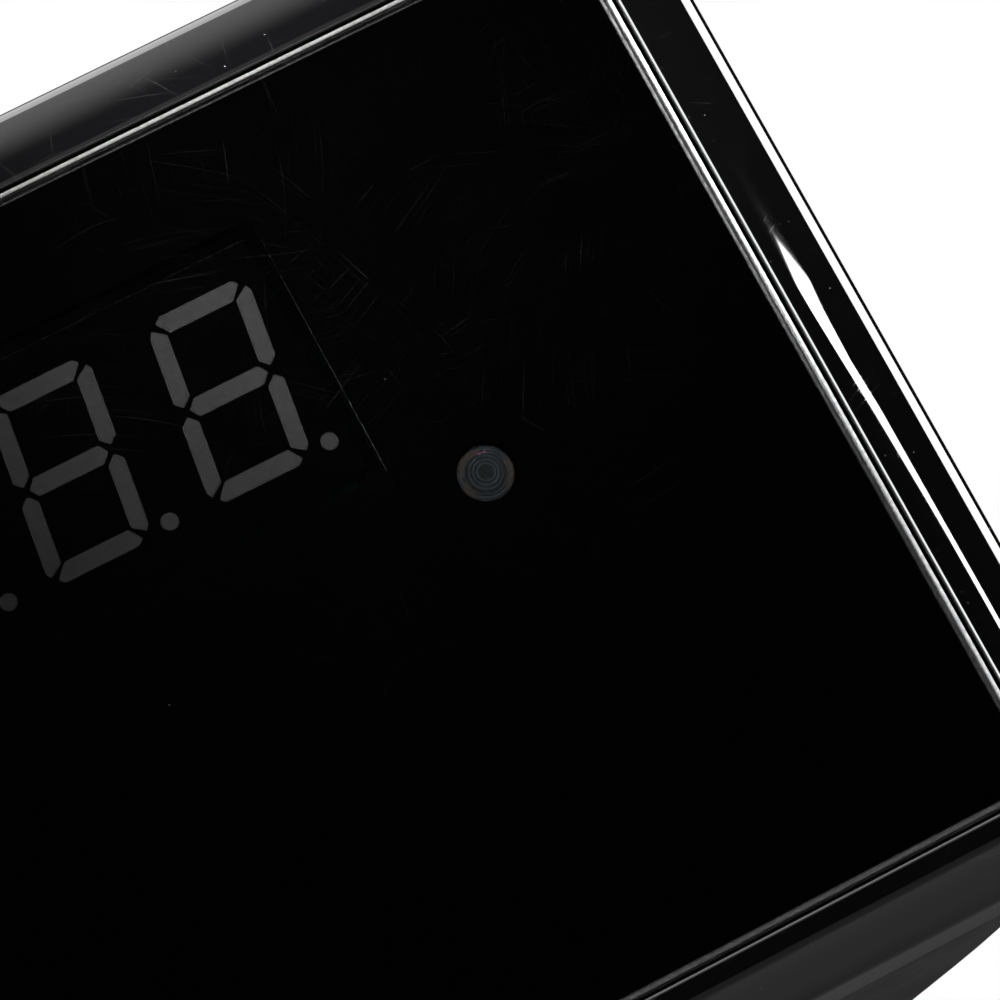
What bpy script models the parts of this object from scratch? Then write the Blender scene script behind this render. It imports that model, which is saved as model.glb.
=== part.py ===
"""Digital timing light: a pistol-grip stroboscope with a smoked display window at its rear.

Metres, +Z up. The barrel points along +Y, the display faces -Y, and the origin is the middle
of the foot's underside. Neighbouring pieces keep a clearance of GAP.
"""

import math

import bmesh
import bpy
from mathutils import Vector

MM = 0.001
GAP = 0.3 * MM
HAIR = 2.0 * MM  # how far a cutter runs past the face that it opens

# Rear display panel
HEAD_Z = 165.0 * MM  # height of the barrel's axis
REAR_Y = -60.0 * MM  # outer face of the window and of the bezel
WINDOW_WIDTH = 93.6 * MM
WINDOW_HEIGHT = 71.4 * MM
WINDOW_RADIUS = 4.0 * MM
WINDOW_THICKNESS = 2.0 * MM
BEZEL_BORDER = 5.4 * MM
BEZEL_DEPTH = 10.0 * MM
BEZEL_EDGE = 2.4 * MM
BEZEL_LEDGE = 3.8 * MM  # how far the ledge behind the mask reaches in
SPIGOT_DEPTH = 6.0 * MM
SPIGOT_WALL = 2.0 * MM
MASK_THICKNESS = 1.5 * MM

# Four-digit display, 14.2 mm digits
MODULE_WIDTH = 50.3 * MM
MODULE_HEIGHT = 19.0 * MM
MODULE_DEPTH = 8.0 * MM
MODULE_X = -9.7 * MM
MODULE_Z = HEAD_Z + 16.1 * MM
MODULE_WALL = 1.2 * MM
MODULE_FACE = 1.0 * MM
CUTOUT_MARGIN = 1.0 * MM
DIGITS = 4
DIGIT_PITCH = 12.7 * MM
DIGIT_SLANT = math.radians(8.0)
POINT_OFFSET = (4.6 * MM, -6.5 * MM)
POINT_RADIUS = 0.65 * MM
# Bars of an upright digit in millimetres from its middle; the others are mirror images.
TOP_BAR = ((-2.9, 7.1), (2.9, 7.1), (3.3, 6.7), (2.5, 5.7), (-2.5, 5.7), (-3.3, 6.7))
MIDDLE_BAR = ((-2.55, 0.7), (2.55, 0.7), (3.1, 0.0), (2.55, -0.7), (-2.55, -0.7), (-3.1, 0.0))
SIDE_BAR = ((3.75, 6.35), (4.05, 5.9), (4.05, 0.9), (3.45, 0.35), (2.75, 1.0), (2.75, 5.65))

LED_X = 22.7 * MM
LED_Z = HEAD_Z + 2.5 * MM
LED_FLANGE_RADIUS = 2.05 * MM
LED_DOME_RADIUS = 1.45 * MM
LED_BACK_Y = REAR_Y + 10.8 * MM
LED_LENGTH = 8.3 * MM
LED_FLANGE_BACK = 5.0 * MM  # from the lamp's back end
LED_FLANGE_FRONT = 6.0 * MM

BOARD = 1.6 * MM  # thickness of every circuit board
DISPLAY_BOARD_Y = REAR_Y + 11.1 * MM
DISPLAY_BOARD_WIDTH = 86.0 * MM
DISPLAY_BOARD_HEIGHT = 64.0 * MM
BOARD_POST_X = 39.0 * MM
BOARD_POST_Z = 28.0 * MM
POST_HALF = 3.0 * MM
POST_REACH = 4.0 * MM  # how far a post's web runs past its screw
POST_HOLE_RADIUS = 1.5 * MM
POST_HOLE_DEPTH = 12.0 * MM

# Housing: barrel stations (y, width, height, corner radius) and grip stations
# (z, middle y, width, depth, corner radius), in millimetres
WALL = 2.5 * MM
FRONT_Y = 117.7 * MM
BARREL = (
    (-49.7, 104.0, 82.0, 10.0),
    (-42.0, 104.0, 82.0, 10.0),
    (-16.0, 100.0, 82.0, 14.0),
    (12.0, 88.0, 76.0, 22.0),
    (42.0, 74.0, 69.0, 28.0),
    (70.0, 66.0, 65.0, 31.0),
    (92.0, 63.0, 63.0, 31.0),
    (117.7, 62.0, 62.0, 30.5),
)
GRIP = (
    (2.5, 0.0, 64.0, 90.0, 16.0),
    (22.0, 0.0, 63.0, 89.0, 16.0),
    (32.0, -0.5, 50.0, 70.0, 16.0),
    (46.0, 0.0, 39.0, 55.0, 16.5),
    (70.0, 3.0, 37.0, 51.0, 17.0),
    (100.0, 8.0, 38.0, 54.0, 17.5),
    (124.0, 12.0, 42.0, 64.0, 18.0),
    (140.0, 14.0, 47.0, 74.0, 20.0),
)
CORNER_POINTS = 6
FOOT_Z = GRIP[0][0] * MM
SLEEVE_LOW = 50.0 * MM
SLEEVE_HIGH = 118.0 * MM
SLEEVE_SHOULDER = 90.0 * MM
SLEEVE_THICKNESS = 1.6 * MM

# Screws that join the two shells, as (y, z)
SCREWS = (
    (-30.0 * MM, 133.0 * MM),
    (-8.0 * MM, 194.0 * MM),
    (76.0 * MM, 187.0 * MM),
    (76.0 * MM, 143.0 * MM),
    (12.0 * MM, 38.0 * MM),
    (-26.0 * MM, 14.0 * MM),
)
SCREW_RADIUS = 1.5 * MM
SCREW_HALF = 8.0 * MM
SCREW_HEAD_RADIUS = 2.8 * MM
SCREW_HEAD_HEIGHT = 2.2 * MM
BOSS_RADIUS = 5.5 * MM

# Trigger, which slides towards -Y
TRIGGER_Z = 109.0 * MM
TRIGGER_HALF_WIDTH = 7.5 * MM
TRIGGER_HALF_HEIGHT = 14.0 * MM
TRIGGER_BACK_Y = 26.5 * MM
TRIGGER_FRONT_Y = 52.0 * MM
TRIGGER_HOLLOW = 3.5 * MM
FLANGE = 1.5 * MM
STEM_BACK_Y = 12.0 * MM
STEM_HALF = 5.0 * MM
STEM_HALF_HEIGHT = 7.0 * MM
SWITCH_BACK_Y = -8.0 * MM
SWITCH_FRONT_Y = 20.0 * MM
SWITCH_HALF_WIDTH = 8.0 * MM
SWITCH_HALF_HEIGHT = 12.0 * MM
SWITCH_POCKET = 15.0 * MM

# Push-buttons on top, which travel 1.2 mm down
BUTTON_Y = -30.0 * MM
BUTTON_PITCH = 20.0 * MM
BUTTON_RADIUS = 6.5 * MM
BUTTON_NAMES = ("button_down", "button_mode", "button_up")
BUTTON_PROUD = 1.8 * MM
BUTTON_TRAVEL = 1.2 * MM
HEAD_TOP = HEAD_Z + BARREL[0][2] / 2 * MM
KEY_BOARD_Z = HEAD_TOP - 13.8 * MM
KEY_SWITCH_HEIGHT = 4.0 * MM
KEY_SWITCH_HALF = 3.0 * MM
KEY_SWITCH_BODY = 3.2 * MM
KEY_BOARD_HALF = 8.0 * MM

MAIN_BOARD_Z = HEAD_Z - 15.0 * MM
MAIN_BOARD_HALF = 28.0 * MM
MAIN_BOARD_REAR_Y = -38.0 * MM
MAIN_BOARD_FRONT_Y = 62.0 * MM

# Lamp
REFLECTOR_VERTEX_Y = 94.0 * MM
REFLECTOR_FOCUS = 7.0 * MM
REFLECTOR_RADIUS = 25.5 * MM
REFLECTOR_HOLE = 6.0 * MM
REFLECTOR_SHEET = 1.0 * MM
HOLDER_Y = 80.0 * MM
HOLDER_LENGTH = 14.0 * MM
HOLDER_BASE = 9.0 * MM
HOLDER_FLOOR = 5.0 * MM
HOLDER_RADIUS = 11.0 * MM
TUBE_RADIUS = 2.5 * MM
TUBE_LENGTH = 26.0 * MM
CAP_RADIUS = 3.4 * MM
CAP_LENGTH = 6.0 * MM
CAP_OVERLAP = 3.5 * MM
LENS_RADIUS = 27.6 * MM
LENS_EDGE = 2.0 * MM
LENS_CROWN = 3.0 * MM
RETAINER_RADIUS = 30.6 * MM
RETAINER_HOLE = 26.4 * MM
RETAINER_LENGTH = 3.5 * MM
RETAINER_SKIRT = 1.6 * MM
NOSE_START_Y = 103.0 * MM
NOSE_HOLE = 27.0 * MM
NOSE_MOUTH = 29.0 * MM
NOSE_RADIUS = 35.0 * MM
NOSE_END_Y = 132.0 * MM

# Lead socket in the foot's front
SOCKET_Z = 12.5 * MM
SOCKET_RADIUS = 7.0 * MM
SOCKET_Y = 30.0 * MM
SOCKET_BORE = 5.2 * MM
SOCKET_RIM = 9.2 * MM
SOCKET_FACE = 17.4 * MM  # the next three are distances from the socket's back
SOCKET_SHOULDER = 15.3 * MM
SOCKET_FLOOR = 6.0 * MM
PIN_CIRCLE = 2.6 * MM
PIN_RADIUS = 0.75 * MM
PIN_LENGTH = 5.0 * MM
SOCKET_PINS = 3


def collection(name):
    found = bpy.data.collections.new(name)
    bpy.context.scene.collection.children.link(found)
    return found


def material(name, colour, roughness, metallic=0.0, transmission=0.0):
    made = bpy.data.materials.new(name)
    made.use_nodes = True
    shader = made.node_tree.nodes["Principled BSDF"]
    shader.inputs["Base Color"].default_value = (*colour, 1.0)
    shader.inputs["Roughness"].default_value = roughness
    shader.inputs["Metallic"].default_value = metallic
    shader.inputs["Transmission Weight"].default_value = transmission
    made.diffuse_color = (*colour, 1.0)
    return made


def add(name, mesh, finish):
    """A named object, in the model's collection where it has a finish and else a cutter."""
    made = bpy.data.objects.new(name, mesh)
    if finish is None:
        CUTTERS.objects.link(made)
        made.hide_render = True
        made.display_type = "WIRE"
    else:
        MODEL.objects.link(made)
        mesh.materials.append(finish)
    return made


def mesh_from(name, built):
    bmesh.ops.recalc_face_normals(built, faces=built.faces)
    mesh = bpy.data.meshes.new(name)
    built.to_mesh(mesh)
    built.free()
    return mesh


def smooth(made):
    made.data.shade_smooth()
    made.data.set_sharp_from_angle(angle=math.radians(35))
    return made


def block(name, low, high, finish=None, radius=0.0, along="Y", segments=4, edge=0.0):
    """A box between two corners. The edges along one axis are rounded, and all by edge."""
    built = bmesh.new()
    bmesh.ops.create_cube(built, size=1.0)
    low = Vector(low)
    high = Vector(high)
    bmesh.ops.scale(built, vec=high - low, verts=built.verts)
    axis = "XYZ".index(along)
    if radius:
        rims = [
            rim
            for rim in built.edges
            if abs((rim.verts[1].co - rim.verts[0].co)[axis]) > 1e-6
        ]
        bmesh.ops.bevel(built, geom=rims, offset=radius, segments=segments, profile=0.5, affect="EDGES")
    made = add(name, mesh_from(name, built), finish)
    made.location = (low + high) / 2
    if edge:
        bevel = made.modifiers.new("edges", "BEVEL")
        bevel.width = edge
        bevel.segments = 2
        bevel.limit_method = "ANGLE"
        bevel.angle_limit = math.radians(50)
    return made


def rod(name, start, along, length, radius, finish=None, sides=24):
    """A cylinder from its start, along a positive axis."""
    built = bmesh.new()
    bmesh.ops.create_cone(
        built, cap_ends=True, segments=sides, radius1=radius, radius2=radius, depth=length
    )
    bmesh.ops.translate(built, vec=(0, 0, length / 2), verts=built.verts)
    made = smooth(add(name, mesh_from(name, built), finish))
    made.location = start
    made.rotation_euler = {"X": (0, math.pi / 2, 0), "Y": (-math.pi / 2, 0, 0), "Z": (0, 0, 0)}[along]
    return made


def turned(name, profile, start, along, finish=None, steps=32, ring=False):
    """A turned solid from (radius, distance along the axis) points, the farthest point first.

    The profile runs down its outer side. A ring's profile closes on itself.
    """
    mesh = bpy.data.meshes.new(name)
    corners = [(radius, 0, height) for radius, height in profile]
    rims = [(i, i + 1) for i in range(len(corners) - 1)]
    if ring:
        rims.append((len(corners) - 1, 0))
    mesh.from_pydata(corners, rims, [])
    made = add(name, mesh, finish)
    screw = made.modifiers.new("turn", "SCREW")
    screw.steps = steps
    screw.render_steps = steps
    screw.use_merge_vertices = True
    screw.merge_threshold = 0.00001
    screw.use_smooth_shade = True
    made.location = start
    made.rotation_euler = {"Y": (-math.pi / 2, 0, 0), "Z": (0, 0, 0)}[along]
    return made


def boolean(target, tool, operation="DIFFERENCE"):
    step = target.modifiers.new(tool.name, "BOOLEAN")
    step.operation = operation
    step.solver = "EXACT"
    step.object = tool


def rounded_rectangle(width, height, radius, corner_points):
    """Corner points of a rounded rectangle about the origin, anticlockwise."""
    points = []
    for turn, (side, up) in enumerate(((1, 1), (-1, 1), (-1, -1), (1, -1))):
        middle = Vector((side * (width / 2 - radius), up * (height / 2 - radius)))
        for step in range(corner_points):
            angle = math.pi / 2 * (turn + step / (corner_points - 1))
            points.append(middle + radius * Vector((math.cos(angle), math.sin(angle))))
    return points


def smooth_rows(rows, positions):
    """Rows read at new positions from a curve through every column that never overshoots."""
    where = [row[0] for row in rows]
    spans = [b - a for a, b in zip(where, where[1:])]
    result = [[position] for position in positions]
    for column in range(1, len(rows[0])):
        values = [row[column] for row in rows]
        rises = [(b - a) / span for a, b, span in zip(values, values[1:], spans)]
        slopes = [rises[0]]
        for before, after in zip(rises, rises[1:]):
            level = before * after <= 0
            slopes.append(0.0 if level else 2 * before * after / (before + after))
        slopes.append(rises[-1])
        for found, position in zip(result, positions):
            i = max(k for k in range(len(spans)) if k == 0 or where[k] <= position)
            t = (position - where[i]) / spans[i]
            found.append(
                values[i] * (1 + 2 * t) * (1 - t) ** 2
                + values[i + 1] * t * t * (3 - 2 * t)
                + slopes[i] * spans[i] * t * (1 - t) ** 2
                - slopes[i + 1] * spans[i] * t * t * (1 - t)
            )
    return result


def even_positions(rows, count):
    low = rows[0][0]
    high = rows[-1][0]
    return [low + (high - low) * i / (count - 1) for i in range(count)]


def loft(name, rings, finish=None):
    """A closed solid through rings with the same number of points."""
    built = bmesh.new()
    levels = [[built.verts.new(point) for point in ring] for ring in rings]
    count = len(rings[0])
    for lower, upper in zip(levels, levels[1:]):
        for i in range(count):
            k = (i + 1) % count
            built.faces.new((lower[i], lower[k], upper[k], upper[i]))
    built.faces.new(levels[0][::-1])
    built.faces.new(levels[-1])
    return smooth(add(name, mesh_from(name, built), finish))


def barrel_loft(name, inset, past_ends=0.0):
    """The barrel's solid, drawn in by inset and longer at both ends by past_ends."""
    ends = {BARREL[0][0]: -past_ends, BARREL[-1][0]: past_ends}
    rings = []
    for y, width, height, radius in BARREL:
        outline = rounded_rectangle(
            width * MM - 2 * inset, height * MM - 2 * inset, radius * MM - inset, CORNER_POINTS
        )
        rings.append([(x, y * MM + ends.get(y, 0.0), HEAD_Z + z) for x, z in outline])
    return loft(name, rings)


def grip_loft(name, inset, floor=0.0):
    """The grip's solid, drawn in by inset, with its lowest ring raised by floor."""
    levels = []
    for z, middle, width, depth, radius in GRIP:
        outline = rounded_rectangle(
            width * MM - 2 * inset, depth * MM - 2 * inset, radius * MM - inset, CORNER_POINTS
        )
        lift = floor if z == GRIP[0][0] else 0.0
        levels.append([(x, middle * MM + y, z * MM + lift) for x, y in outline])
    return loft(name, levels)


def panel_block(name, width, height, y_low, y_high, finish=None, radius=0.0, **rest):
    """A plate that faces the user, centred on the barrel's axis."""
    low = (-width / 2, y_low, HEAD_Z - height / 2)
    high = (width / 2, y_high, HEAD_Z + height / 2)
    return block(name, low, high, finish, radius, **rest)


def build_window():
    panel_block(
        "panel_window", WINDOW_WIDTH, WINDOW_HEIGHT, REAR_Y, REAR_Y + WINDOW_THICKNESS,
        SMOKED, WINDOW_RADIUS, edge=0.4 * MM,
    )


def build_bezel():
    """A frame with a ledge for the mask, a spigot that the shells grip, and four board posts."""
    mouth_width = WINDOW_WIDTH + 2 * GAP
    mouth_height = WINDOW_HEIGHT + 2 * GAP
    ring_back = REAR_Y + BEZEL_DEPTH
    ledge_y = REAR_Y + WINDOW_THICKNESS + GAP + MASK_THICKNESS + GAP
    ledge_back = ledge_y + 2.5 * MM
    bezel = panel_block(
        "panel_bezel", WINDOW_WIDTH + 2 * (BEZEL_BORDER + GAP), WINDOW_HEIGHT + 2 * (BEZEL_BORDER + GAP),
        REAR_Y, ring_back, GLOSS, 10.0 * MM, segments=6,
    )
    edge = bezel.modifiers.new("edge", "BEVEL")
    edge.width = BEZEL_EDGE
    edge.segments = 3
    edge.limit_method = "ANGLE"
    edge.angle_limit = math.radians(50)
    spigot_width = BARREL[0][1] * MM - 2 * (WALL + GAP)
    spigot_height = BARREL[0][2] * MM - 2 * (WALL + GAP)
    spigot = panel_block(
        "bezel_spigot", spigot_width, spigot_height, ring_back - HAIR, ring_back + SPIGOT_DEPTH,
        radius=7.2 * MM,
    )
    boolean(bezel, spigot, "UNION")
    boolean(bezel, panel_block(
        "bezel_mouth", mouth_width, mouth_height, REAR_Y - HAIR, ledge_y, radius=WINDOW_RADIUS + GAP
    ))
    boolean(bezel, panel_block(
        "bezel_opening", mouth_width - 2 * BEZEL_LEDGE, mouth_height - 2 * BEZEL_LEDGE,
        REAR_Y, ring_back, radius=3 * MM,
    ))
    boolean(bezel, panel_block(
        "bezel_pocket", spigot_width - 2 * SPIGOT_WALL, spigot_height - 2 * SPIGOT_WALL,
        ledge_back, ring_back + SPIGOT_DEPTH + HAIR, radius=5.2 * MM,
    ))
    build_display_board(bezel, spigot_width, ledge_back)


def build_display_board(bezel, spigot_width, ledge_back):
    """The board behind the display, on the bezel's posts."""
    board_y = DISPLAY_BOARD_Y
    board = panel_block(
        "display_board", DISPLAY_BOARD_WIDTH, DISPLAY_BOARD_HEIGHT, board_y, board_y + BOARD, GREEN,
        1.5 * MM, segments=2,
    )
    number = 0
    for side in (-1, 1):
        for up in (-1, 1):
            number += 1
            x = side * BOARD_POST_X
            z = HEAD_Z + up * BOARD_POST_Z
            post_start = ledge_back - HAIR
            post_end = board_y - GAP
            ends = sorted((x - side * POST_REACH, side * (spigot_width / 2 - MM)))
            web = block(
                f"bezel_web_{number}", (ends[0], post_start, z - POST_HALF), (ends[1], post_end, z + POST_HALF)
            )
            boolean(bezel, web, "UNION")
            hole = rod(
                f"post_hole_{number}", (x, post_start - HAIR, z), "Y", POST_HOLE_DEPTH, POST_HOLE_RADIUS, sides=12
            )
            boolean(bezel, hole)
            boolean(board, hole)
            turned(
                f"board_screw_{number}",
                (
                    (0, 1.4 * MM), (1.4 * MM, 1.4 * MM), (2.2 * MM, 0.8 * MM), (2.2 * MM, 0),
                    (1.1 * MM, 0), (1.1 * MM, -4.5 * MM), (0, -5 * MM),
                ),
                (x, board_y + BOARD + GAP, z), "Y", STEEL, steps=8,
            )


def build_mask():
    """The black plate behind the window, cut out for the display and bored for the lamp."""
    front = REAR_Y + WINDOW_THICKNESS + GAP
    mask = panel_block(
        "display_mask", WINDOW_WIDTH - 2 * GAP, WINDOW_HEIGHT - 2 * GAP, front, front + MASK_THICKNESS,
        SATIN, WINDOW_RADIUS,
    )
    half_width = MODULE_WIDTH / 2 + CUTOUT_MARGIN
    half_height = MODULE_HEIGHT / 2 + CUTOUT_MARGIN
    boolean(mask, block(
        "mask_cutout", (MODULE_X - half_width, front - HAIR, MODULE_Z - half_height),
        (MODULE_X + half_width, front + HAIR, MODULE_Z + half_height),
    ))
    boolean(mask, rod(
        "mask_bore", (LED_X, front - HAIR, LED_Z), "Y", 3 * HAIR, LED_FLANGE_RADIUS + GAP, sides=20
    ))


def bar_outlines():
    """The seven bars of a slanted digit, about its middle, in metres."""
    bars = [MIDDLE_BAR, TOP_BAR, [(x, -y) for x, y in TOP_BAR]]
    for side in (-1, 1):
        for up in (-1, 1):
            bars.append([(side * x, up * y) for x, y in SIDE_BAR])
    lean = math.tan(DIGIT_SLANT)
    return [[((x + y * lean) * MM, y * MM) for x, y in bar] for bar in bars]


def build_display():
    """The display's box with an opening for every bar, and the clear casting inside it."""
    front = REAR_Y + WINDOW_THICKNESS + 0.8 * MM
    back = front + MODULE_DEPTH
    case = block(
        "display_case", (MODULE_X - MODULE_WIDTH / 2, front, MODULE_Z - MODULE_HEIGHT / 2),
        (MODULE_X + MODULE_WIDTH / 2, back, MODULE_Z + MODULE_HEIGHT / 2), SATIN,
    )
    inner_x = MODULE_WIDTH / 2 - MODULE_WALL
    inner_z = MODULE_HEIGHT / 2 - MODULE_WALL
    boolean(case, block(
        "case_pocket", (MODULE_X - inner_x, front + MODULE_FACE, MODULE_Z - inner_z),
        (MODULE_X + inner_x, back + HAIR, MODULE_Z + inner_z),
    ))
    openings = bmesh.new()
    for digit in range(DIGITS):
        middle_x = MODULE_X + (digit - (DIGITS - 1) / 2) * DIGIT_PITCH
        dot = [
            (
                POINT_OFFSET[0] + POINT_RADIUS * math.cos(math.tau * i / 8),
                POINT_OFFSET[1] + POINT_RADIUS * math.sin(math.tau * i / 8),
            )
            for i in range(8)
        ]
        for outline in bar_outlines() + [dot]:
            corners = [openings.verts.new((middle_x + x, front - HAIR, MODULE_Z + z)) for x, z in outline]
            face = openings.faces.new(corners)
            pulled = bmesh.ops.extrude_face_region(openings, geom=[face])["geom"]
            moved = [part for part in pulled if isinstance(part, bmesh.types.BMVert)]
            bmesh.ops.translate(openings, vec=(0, HAIR + 2 * MODULE_FACE, 0), verts=moved)
    boolean(case, add("case_openings", mesh_from("case_openings", openings), None))
    block(
        "display_casting",
        (MODULE_X - inner_x + GAP, front + MODULE_FACE + GAP, MODULE_Z - inner_z + GAP),
        (MODULE_X + inner_x - GAP, back - 1.0 * MM, MODULE_Z + inner_z - GAP), FROSTED,
    )


def build_led():
    """The indicator lamp: a dome on a flange, in the mask's bore."""
    dome_end = LED_LENGTH - LED_DOME_RADIUS
    dome = [
        (LED_DOME_RADIUS * math.sin(angle), dome_end + LED_DOME_RADIUS * math.cos(angle))
        for angle in (math.radians(22.5 * i) for i in range(5))
    ]
    led = turned(
        "status_led",
        dome + [
            (LED_DOME_RADIUS, LED_FLANGE_FRONT + 0.2 * MM), (LED_FLANGE_RADIUS, LED_FLANGE_FRONT),
            (LED_FLANGE_RADIUS, LED_FLANGE_BACK), (LED_DOME_RADIUS, LED_FLANGE_BACK), (LED_DOME_RADIUS, 0), (0, 0),
        ],
        (LED_X, LED_BACK_Y, LED_Z), "Y", CLEAR, steps=16,
    )
    led.rotation_euler = (math.pi / 2, 0, 0)


def build_housing():
    """Two shells that meet at X = 0, cut from one body, its cavity and its openings."""
    outside = barrel_loft("body_outside", 0.0)
    boolean(outside, grip_loft("body_outside_grip", 0.0), "UNION")
    cavity = barrel_loft("body_cavity", WALL, past_ends=HAIR)
    boolean(cavity, grip_loft("body_cavity_grip", WALL, floor=WALL), "UNION")
    reach = 60 * MM
    openings = []
    for number, (y, z) in enumerate(SCREWS, 1):
        boolean(cavity, rod(f"boss_{number}", (-reach, y, z), "X", 2 * reach, BOSS_RADIUS, sides=16))
        openings.append(rod(
            f"screw_hole_{number}", (-SCREW_HALF - MM, y, z), "X", 2 * SCREW_HALF + 3 * MM,
            SCREW_RADIUS + GAP, sides=12,
        ))
        openings.append(rod(
            f"counterbore_{number}", (SCREW_HALF, y, z), "X", reach, SCREW_HEAD_RADIUS + 2 * GAP, sides=16
        ))
        build_screw(number, y, z)
    for rib in ribs():
        boolean(cavity, rib)
    for side in (-1, 1):
        boolean(cavity, rod(
            f"key_post_{side + 2}", (side * BUTTON_PITCH / 2, BUTTON_Y, KEY_BOARD_Z + BOARD + GAP), "Z",
            20 * MM, 1.9 * MM, sides=12,
        ))
    for slot, x in enumerate(button_places()):
        openings.append(rod(
            f"button_hole_{slot}", (x, BUTTON_Y, HEAD_TOP - WALL - HAIR), "Z", WALL + 2 * HAIR,
            BUTTON_RADIUS + GAP,
        ))
    openings.append(block(
        "trigger_slot",
        (-TRIGGER_HALF_WIDTH - 2 * GAP, TRIGGER_BACK_Y, TRIGGER_Z - TRIGGER_HALF_HEIGHT - 2 * GAP),
        (TRIGGER_HALF_WIDTH + 2 * GAP, TRIGGER_FRONT_Y, TRIGGER_Z + TRIGGER_HALF_HEIGHT + 2 * GAP),
    ))
    openings.append(rod("socket_hole", (0, 36 * MM, SOCKET_Z), "Y", 15 * MM, SOCKET_RADIUS + GAP))
    for name, side in (("housing_left", -1), ("housing_right", 1)):
        ends = sorted((side * GAP / 2, side * reach))
        half = block(name, (ends[0], -70 * MM, -10 * MM), (ends[1], 140 * MM, 230 * MM), GLOSS)
        boolean(half, outside, "INTERSECT")
        boolean(half, cavity)
        for opening in openings:
            boolean(half, opening)


def ribs():
    """Walls left in the cavity that carry the main board and the trigger switch."""
    reach = 60 * MM
    found = []
    for number, y in enumerate((-22 * MM, 46 * MM)):
        found.append(block(
            f"board_rib_{number}", (-reach, y, HEAD_Z - 50 * MM), (reach, y + 2 * MM, MAIN_BOARD_Z - GAP)
        ))
    shelf = SWITCH_HALF_HEIGHT + GAP
    for number, z in enumerate((TRIGGER_Z - shelf - 1.8 * MM, TRIGGER_Z + shelf)):
        found.append(block(
            f"switch_rib_{number}", (-reach, SWITCH_BACK_Y, z), (reach, SWITCH_FRONT_Y - 2 * MM, z + 1.8 * MM)
        ))
    return found


def build_screw(number, y, z):
    screw = turned(
        f"housing_screw_{number}",
        (
            (0, SCREW_HEAD_HEIGHT), (1.6 * MM, SCREW_HEAD_HEIGHT), (SCREW_HEAD_RADIUS, 1.2 * MM),
            (SCREW_HEAD_RADIUS, 0), (SCREW_RADIUS, 0), (SCREW_RADIUS, -2 * SCREW_HALF + MM),
            (0, -2 * SCREW_HALF),
        ),
        (SCREW_HALF + GAP, y, z), "Y", STEEL, steps=10,
    )
    screw.rotation_euler = (0, math.pi / 2, 0)


def button_places():
    return [(slot - 1) * BUTTON_PITCH for slot in range(len(BUTTON_NAMES))]


def build_controls():
    """Three push-buttons, with a switch under each on one board."""
    half_x = BUTTON_PITCH + 10 * MM
    block(
        "key_board", (-half_x, BUTTON_Y - KEY_BOARD_HALF, KEY_BOARD_Z),
        (half_x, BUTTON_Y + KEY_BOARD_HALF, KEY_BOARD_Z + BOARD), GREEN, 1.5 * MM, along="Z", segments=2,
    )
    switch_z = KEY_BOARD_Z + BOARD + GAP
    switch_top = switch_z + KEY_SWITCH_HEIGHT
    flange_top = HEAD_TOP - WALL - GAP
    stem_end = switch_top + BUTTON_TRAVEL + 0.05 * MM
    for name, x in zip(BUTTON_NAMES, button_places()):
        top = HEAD_TOP + BUTTON_PROUD
        turned(
            name,
            (
                (0, top - 0.4 * MM), (4.0 * MM, top - 0.3 * MM), (5.5 * MM, top),
                (BUTTON_RADIUS - 0.3 * MM, top - 0.3 * MM), (BUTTON_RADIUS - 0.1 * MM, top - 0.9 * MM),
                (BUTTON_RADIUS - 0.1 * MM, flange_top), (BUTTON_RADIUS + 1.2 * MM, flange_top),
                (BUTTON_RADIUS + 1.2 * MM, flange_top - 1.2 * MM), (2.0 * MM, flange_top - 1.2 * MM),
                (2.0 * MM, stem_end), (0, stem_end),
            ),
            (x, BUTTON_Y, 0), "Z", GREY, steps=20,
        )
        switch = block(
            name.replace("button", "key_switch"), (x - KEY_SWITCH_HALF, BUTTON_Y - KEY_SWITCH_HALF, switch_z),
            (x + KEY_SWITCH_HALF, BUTTON_Y + KEY_SWITCH_HALF, switch_z + KEY_SWITCH_BODY), SATIN,
        )
        boolean(switch, rod(
            name.replace("button", "plunger"), (x, BUTTON_Y, switch_z + MM), "Z", switch_top - switch_z - MM,
            1.7 * MM, sides=12,
        ), "UNION")


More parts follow.
